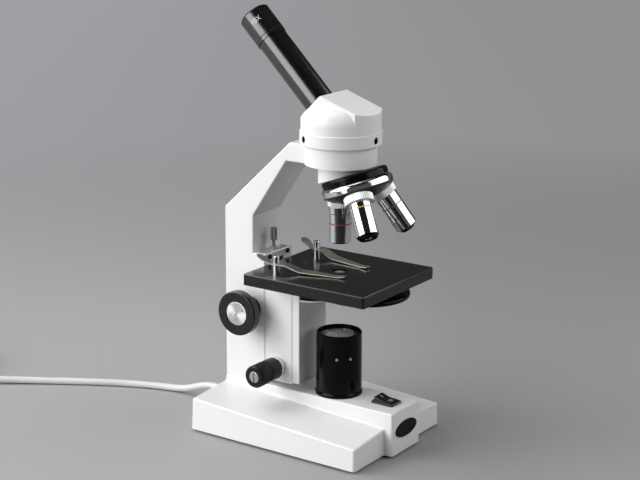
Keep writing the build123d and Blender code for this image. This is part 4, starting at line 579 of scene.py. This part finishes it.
coil_end = Vector((coil_middle.x, coil_middle.y, low_layer + layer_gap)) - to_middle * last_reach
cord_points.append(coil_end + heading * cord_tail)
cord_line = bpy.data.curves.new("mains_lead", "CURVE")
cord_line.dimensions = "3D"
cord_line.bevel_depth = cord_thick / 2
cord_line.bevel_resolution = 5
cord_line.resolution_u = 6
cord_line.use_fill_caps = True
cord_spline = cord_line.splines.new("NURBS")
cord_spline.points.add(len(cord_points) - 1)
for spline_point, point in zip(cord_spline.points, cord_points):
    spline_point.co = (*point, 1)
cord_spline.order_u = 3
cord_spline.use_endpoint_u = True
mains_lead = bpy.data.objects.new("mains_lead", cord_line)
scene.collection.objects.link(mains_lead)
mains_lead.data.materials.append(cord_grey)
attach(mains_lead, "stand")
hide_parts("power_cord", "cord_coil")


def tie_strap():
    """Closed band round the coil's turns: a cube with no sides, round corners and a thin wall."""
    strap_length = 0.0298
    strap_width = 0.009
    strap_wall = 0.0008
    corner_round = 0.0024
    edge_round = 0.00015
    low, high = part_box("cord_tie")
    bpy.ops.object.select_all(action="DESELECT")
    bpy.ops.mesh.primitive_cube_add(size=1)
    strap = bpy.context.object
    strap.name = "tie_strap"
    strap.scale = (strap_length, strap_width, high.z - low.z)
    bpy.ops.object.transform_apply(scale=True)
    bpy.ops.object.mode_set(mode="EDIT")
    bpy.ops.mesh.select_mode(type="FACE")
    bpy.ops.mesh.select_all(action="DESELECT")
    bpy.ops.object.mode_set(mode="OBJECT")
    for face in strap.data.polygons:
        face.select = abs(face.normal.y) > 0.9
    bpy.ops.object.mode_set(mode="EDIT")
    bpy.ops.mesh.delete(type="ONLY_FACE")
    bpy.ops.mesh.select_mode(type="EDGE")
    bpy.ops.mesh.select_all(action="DESELECT")
    bpy.ops.object.mode_set(mode="OBJECT")
    for edge in strap.data.edges:
        ends = [strap.data.vertices[index].co for index in edge.vertices]
        edge.select = abs(ends[0].y - ends[1].y) > strap_width / 2
    bpy.ops.object.mode_set(mode="EDIT")
    bpy.ops.mesh.bevel(offset=corner_round, segments=5, affect="EDGES")
    bpy.ops.object.mode_set(mode="OBJECT")
    wall = strap.modifiers.new("wall", "SOLIDIFY")
    wall.thickness = strap_wall
    wall.offset = -1
    bpy.ops.object.modifier_apply(modifier="wall")
    soft = strap.modifiers.new("soft", "BEVEL")
    soft.width = edge_round
    soft.segments = 2
    bpy.ops.object.modifier_apply(modifier="soft")
    bpy.ops.object.shade_smooth_by_angle(angle=math.radians(35))
    across_coil = math.atan2(to_middle.y, to_middle.x)
    strap.matrix_world = Matrix.Translation((low + high) / 2) @ Matrix.Rotation(across_coil, 4, "Z")
    bpy.ops.object.select_all(action="DESELECT")
    strap.select_set(True)
    bpy.context.view_layer.objects.active = strap
    bpy.ops.object.transform_apply(location=True, rotation=True, scale=True)
    return strap


strap = tie_strap()
strap.data.materials.append(tie_black)
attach(strap, "stand")
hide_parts("cord_tie")


# Letters and marks
def lettering(name, words, size, spot, across, outward, surface, ink, body):
    """Flat letters laid on a CAD surface; across is the reading way, outward the way they face."""
    ink_lift = 0.00006
    bpy.ops.object.select_all(action="DESELECT")
    bpy.ops.object.text_add()
    letters = bpy.context.object
    letters.name = name
    letters.data.body = words
    letters.data.size = size
    letters.data.align_x = "CENTER"
    letters.data.align_y = "CENTER"
    letters.data.resolution_u = 3
    bpy.ops.object.convert(target="MESH")
    letters = bpy.context.object
    upward = outward.cross(across)
    turn = Matrix((across, upward, outward)).transposed().to_4x4()
    letters.matrix_world = Matrix.Translation(spot) @ turn
    bpy.ops.object.transform_apply(location=True, rotation=True, scale=True)
    lay = letters.modifiers.new("lay", "SHRINKWRAP")
    lay.target = nodes[surface]
    lay.wrap_method = "NEAREST_SURFACEPOINT"
    lay.wrap_mode = "ABOVE_SURFACE"
    lay.offset = ink_lift
    bpy.ops.object.modifier_apply(modifier="lay")
    letters.data.materials.clear()
    letters.data.materials.append(ink)
    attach(letters, body)


objective_letter_size = 0.0032
eyepiece_letter_size = 0.006
rocker_mark_size = 0.0055
barrel_clearance = 0.0004
viewer_side = Vector((0.56, -0.83, 0))
for label, look, reach, barrel_r, words in (
    ("objective_4", look_4, 0.086, 0.00945, "4/0.1"),
    ("objective_10", look_10, 0.084, 0.0095, "10/0.25"),
    ("objective_40", look_40, 0.087, 0.0096, "40/0.65"),
):
    outward = (viewer_side - look * viewer_side.dot(look)).normalized()
    across = outward.cross(look).normalized()
    spot = apex + look * reach + outward * (barrel_r + barrel_clearance)
    lettering(
        label + "_letters", words, objective_letter_size, spot, across, outward, label, dark_ink,
        "turret_group",
    )

eyepiece_reach = 0.0885
eyepiece_r = 0.014
eyepiece_out = (viewer_side - tube_axis * viewer_side.dot(tube_axis)).normalized()
eyepiece_across = tube_axis.cross(eyepiece_out).normalized()
eyepiece_spot = tube_foot + tube_axis * eyepiece_reach + eyepiece_out * eyepiece_r
lettering(
    "eyepiece_letters", "10X", eyepiece_letter_size, eyepiece_spot, eyepiece_across, eyepiece_out,
    "eyepiece_barrel", white_ink, "eyepiece_group",
)

toward_far = Vector((0, 1, 0))
on_slope = math.radians(18.2)
off_slope = math.radians(3.9)
for label, words, slope, spot in (
    ("rocker_on_mark", "I", on_slope, Vector((0.0643, 0, 0.0439))),
    ("rocker_off_mark", "O", off_slope, Vector((0.0728, 0, 0.0422))),
):
    outward = Vector((math.sin(slope), 0, math.cos(slope)))
    lettering(
        label, words, rocker_mark_size, spot, toward_far, outward, "switch_rocker", white_ink,
        "rocker_group",
    )

# Floor: grey paper, darker to the right by painted shade. For the camera it turns far off into a glowing
# grey backdrop, also darker to the right by painted shade; all other rays see it dark in front as a painted
# dark reflection
floor_width = 40
floor_drop = 0.0002
to_right = (0.827, 0.562, 0)
to_viewer = (0.562, -0.827, 0)
bpy.ops.object.select_all(action="DESELECT")
bpy.ops.mesh.primitive_plane_add(size=floor_width, location=(0, 0, -floor_drop))
floor = bpy.context.object
floor.name = "studio_floor"
paper = finish("floor_paper", {"Roughness": 0.8, "Specular IOR Level": 0.05})
paper_place = place_on(paper)


def along(way):
    """How far a place on the paper lies along a way."""
    reach = add_node(paper, "ShaderNodeVectorMath", operation="DOT_PRODUCT")
    reach.inputs[1].default_value = way
    wire(paper, paper_place, reach.inputs[0])
    return reach.outputs["Value"]


paper_fibre = mottle(paper, paper_place, scale=600, detail=3, roughness=0.8)
paper_tooth = mottle(paper, paper_place, scale=700)
seen = add_node(paper, "ShaderNodeLightPath").outputs["Is Camera Ray"]
# painted shade: the paper darkens towards the right
shade = level(paper, along(to_right), low=0.0, high=0.37, start=-0.12, end=0.15)
in_front = level(paper, along(to_viewer), low=0.0, high=1.0, start=0.3, end=0.5)
# painted dark reflection: rays other than the camera's see the paper near black in front
painted_dark_reflection = sums(paper, "MULTIPLY", in_front, opposite(paper, seen))
far_off = level(paper, from_axis(paper, paper_place, round_z), low=0.0, high=1.0, start=0.35, end=1.3)
backdrop = sums(paper, "MULTIPLY", far_off, seen)
paper_tone = tint(paper, paper_fibre, dark=(0.325, 0.328, 0.33), light=(0.435, 0.438, 0.44))
paper_tone = overlay(paper, shade, paper_tone, (0.12, 0.12, 0.12))
paper_tone = overlay(paper, painted_dark_reflection, paper_tone, (0.02, 0.02, 0.02))
paper_tone = overlay(paper, backdrop, paper_tone, (0, 0, 0))
# painted shade: the glowing backdrop grey darkens towards the right
sideways = level(paper, along(to_right), low=0.0, high=1.0, start=-0.6, end=0.5)
backdrop_tone = tint(paper, sideways, (0.34, 0.345, 0.36), (0.275, 0.278, 0.285), start=0.0, end=1.0)
to_shader(paper, backdrop_tone, "Emission Color")
to_shader(paper, backdrop, "Emission Strength")
to_shader(paper, paper_tone, "Base Color")
to_shader(paper, relief(paper, paper_tooth, depth=0.00005, strength=0.1), "Normal")
floor.data.materials.append(paper)

# Studio light
lit_middle = Vector((0, 0, 0.17))


def softbox(name, place, width, height, power):
    """A flat studio lamp that stands at a place and faces the middle of the microscope."""
    bpy.ops.object.light_add(type="AREA", location=place)
    lamp = bpy.context.object
    lamp.name = name
    lamp.data.shape = "RECTANGLE"
    lamp.data.size = width
    lamp.data.size_y = height
    lamp.data.energy = power
    lamp.rotation_mode = "QUATERNION"
    lamp.rotation_quaternion = (Vector(place) - lit_middle).to_track_quat("Z", "Y")


softbox("left_softbox", (-1.27, -1.0, 0.96), width=1.15, height=1.5, power=27)
softbox("front_softbox", (-0.55, -1.84, 0.66), width=1.2, height=1.4, power=21.5)
softbox("overhead_softbox", (-1.1, -0.1, 2.4), width=2.0, height=2.0, power=29)
softbox("right_screen", (0.56, 0.27, 0.58), width=1.0, height=0.6, power=3.9)

# Room: an even grey for the camera; for all other rays dim low down, dark higher up, dim overhead
room_grey = (0.31, 0.313, 0.322)
room = bpy.data.worlds.new("studio_room")
scene.world = room
room.use_nodes = True
sky_way = add_node(room, "ShaderNodeTexCoord").outputs["Generated"]
sky_ramp = add_node(room, "ShaderNodeValToRGB")
sky_ramp.color_ramp.elements[0].color = (0.11, 0.11, 0.115, 1)
sky_ramp.color_ramp.elements[1].color = (0.15, 0.15, 0.155, 1)
for height, grey in ((0.28, 0.1), (0.42, 0.015), (0.85, 0.015)):
    sky_ramp.color_ramp.elements.new(height).color = (grey, grey, grey, 1)
wire(room, ways(room, sky_way)["Z"], sky_ramp.inputs["Fac"])
room_seen = add_node(room, "ShaderNodeLightPath").outputs["Is Camera Ray"]
room_tone = overlay(room, room_seen, sky_ramp.outputs["Color"], room_grey)
wire(room, room_tone, room.node_tree.nodes["Background"].inputs["Color"])
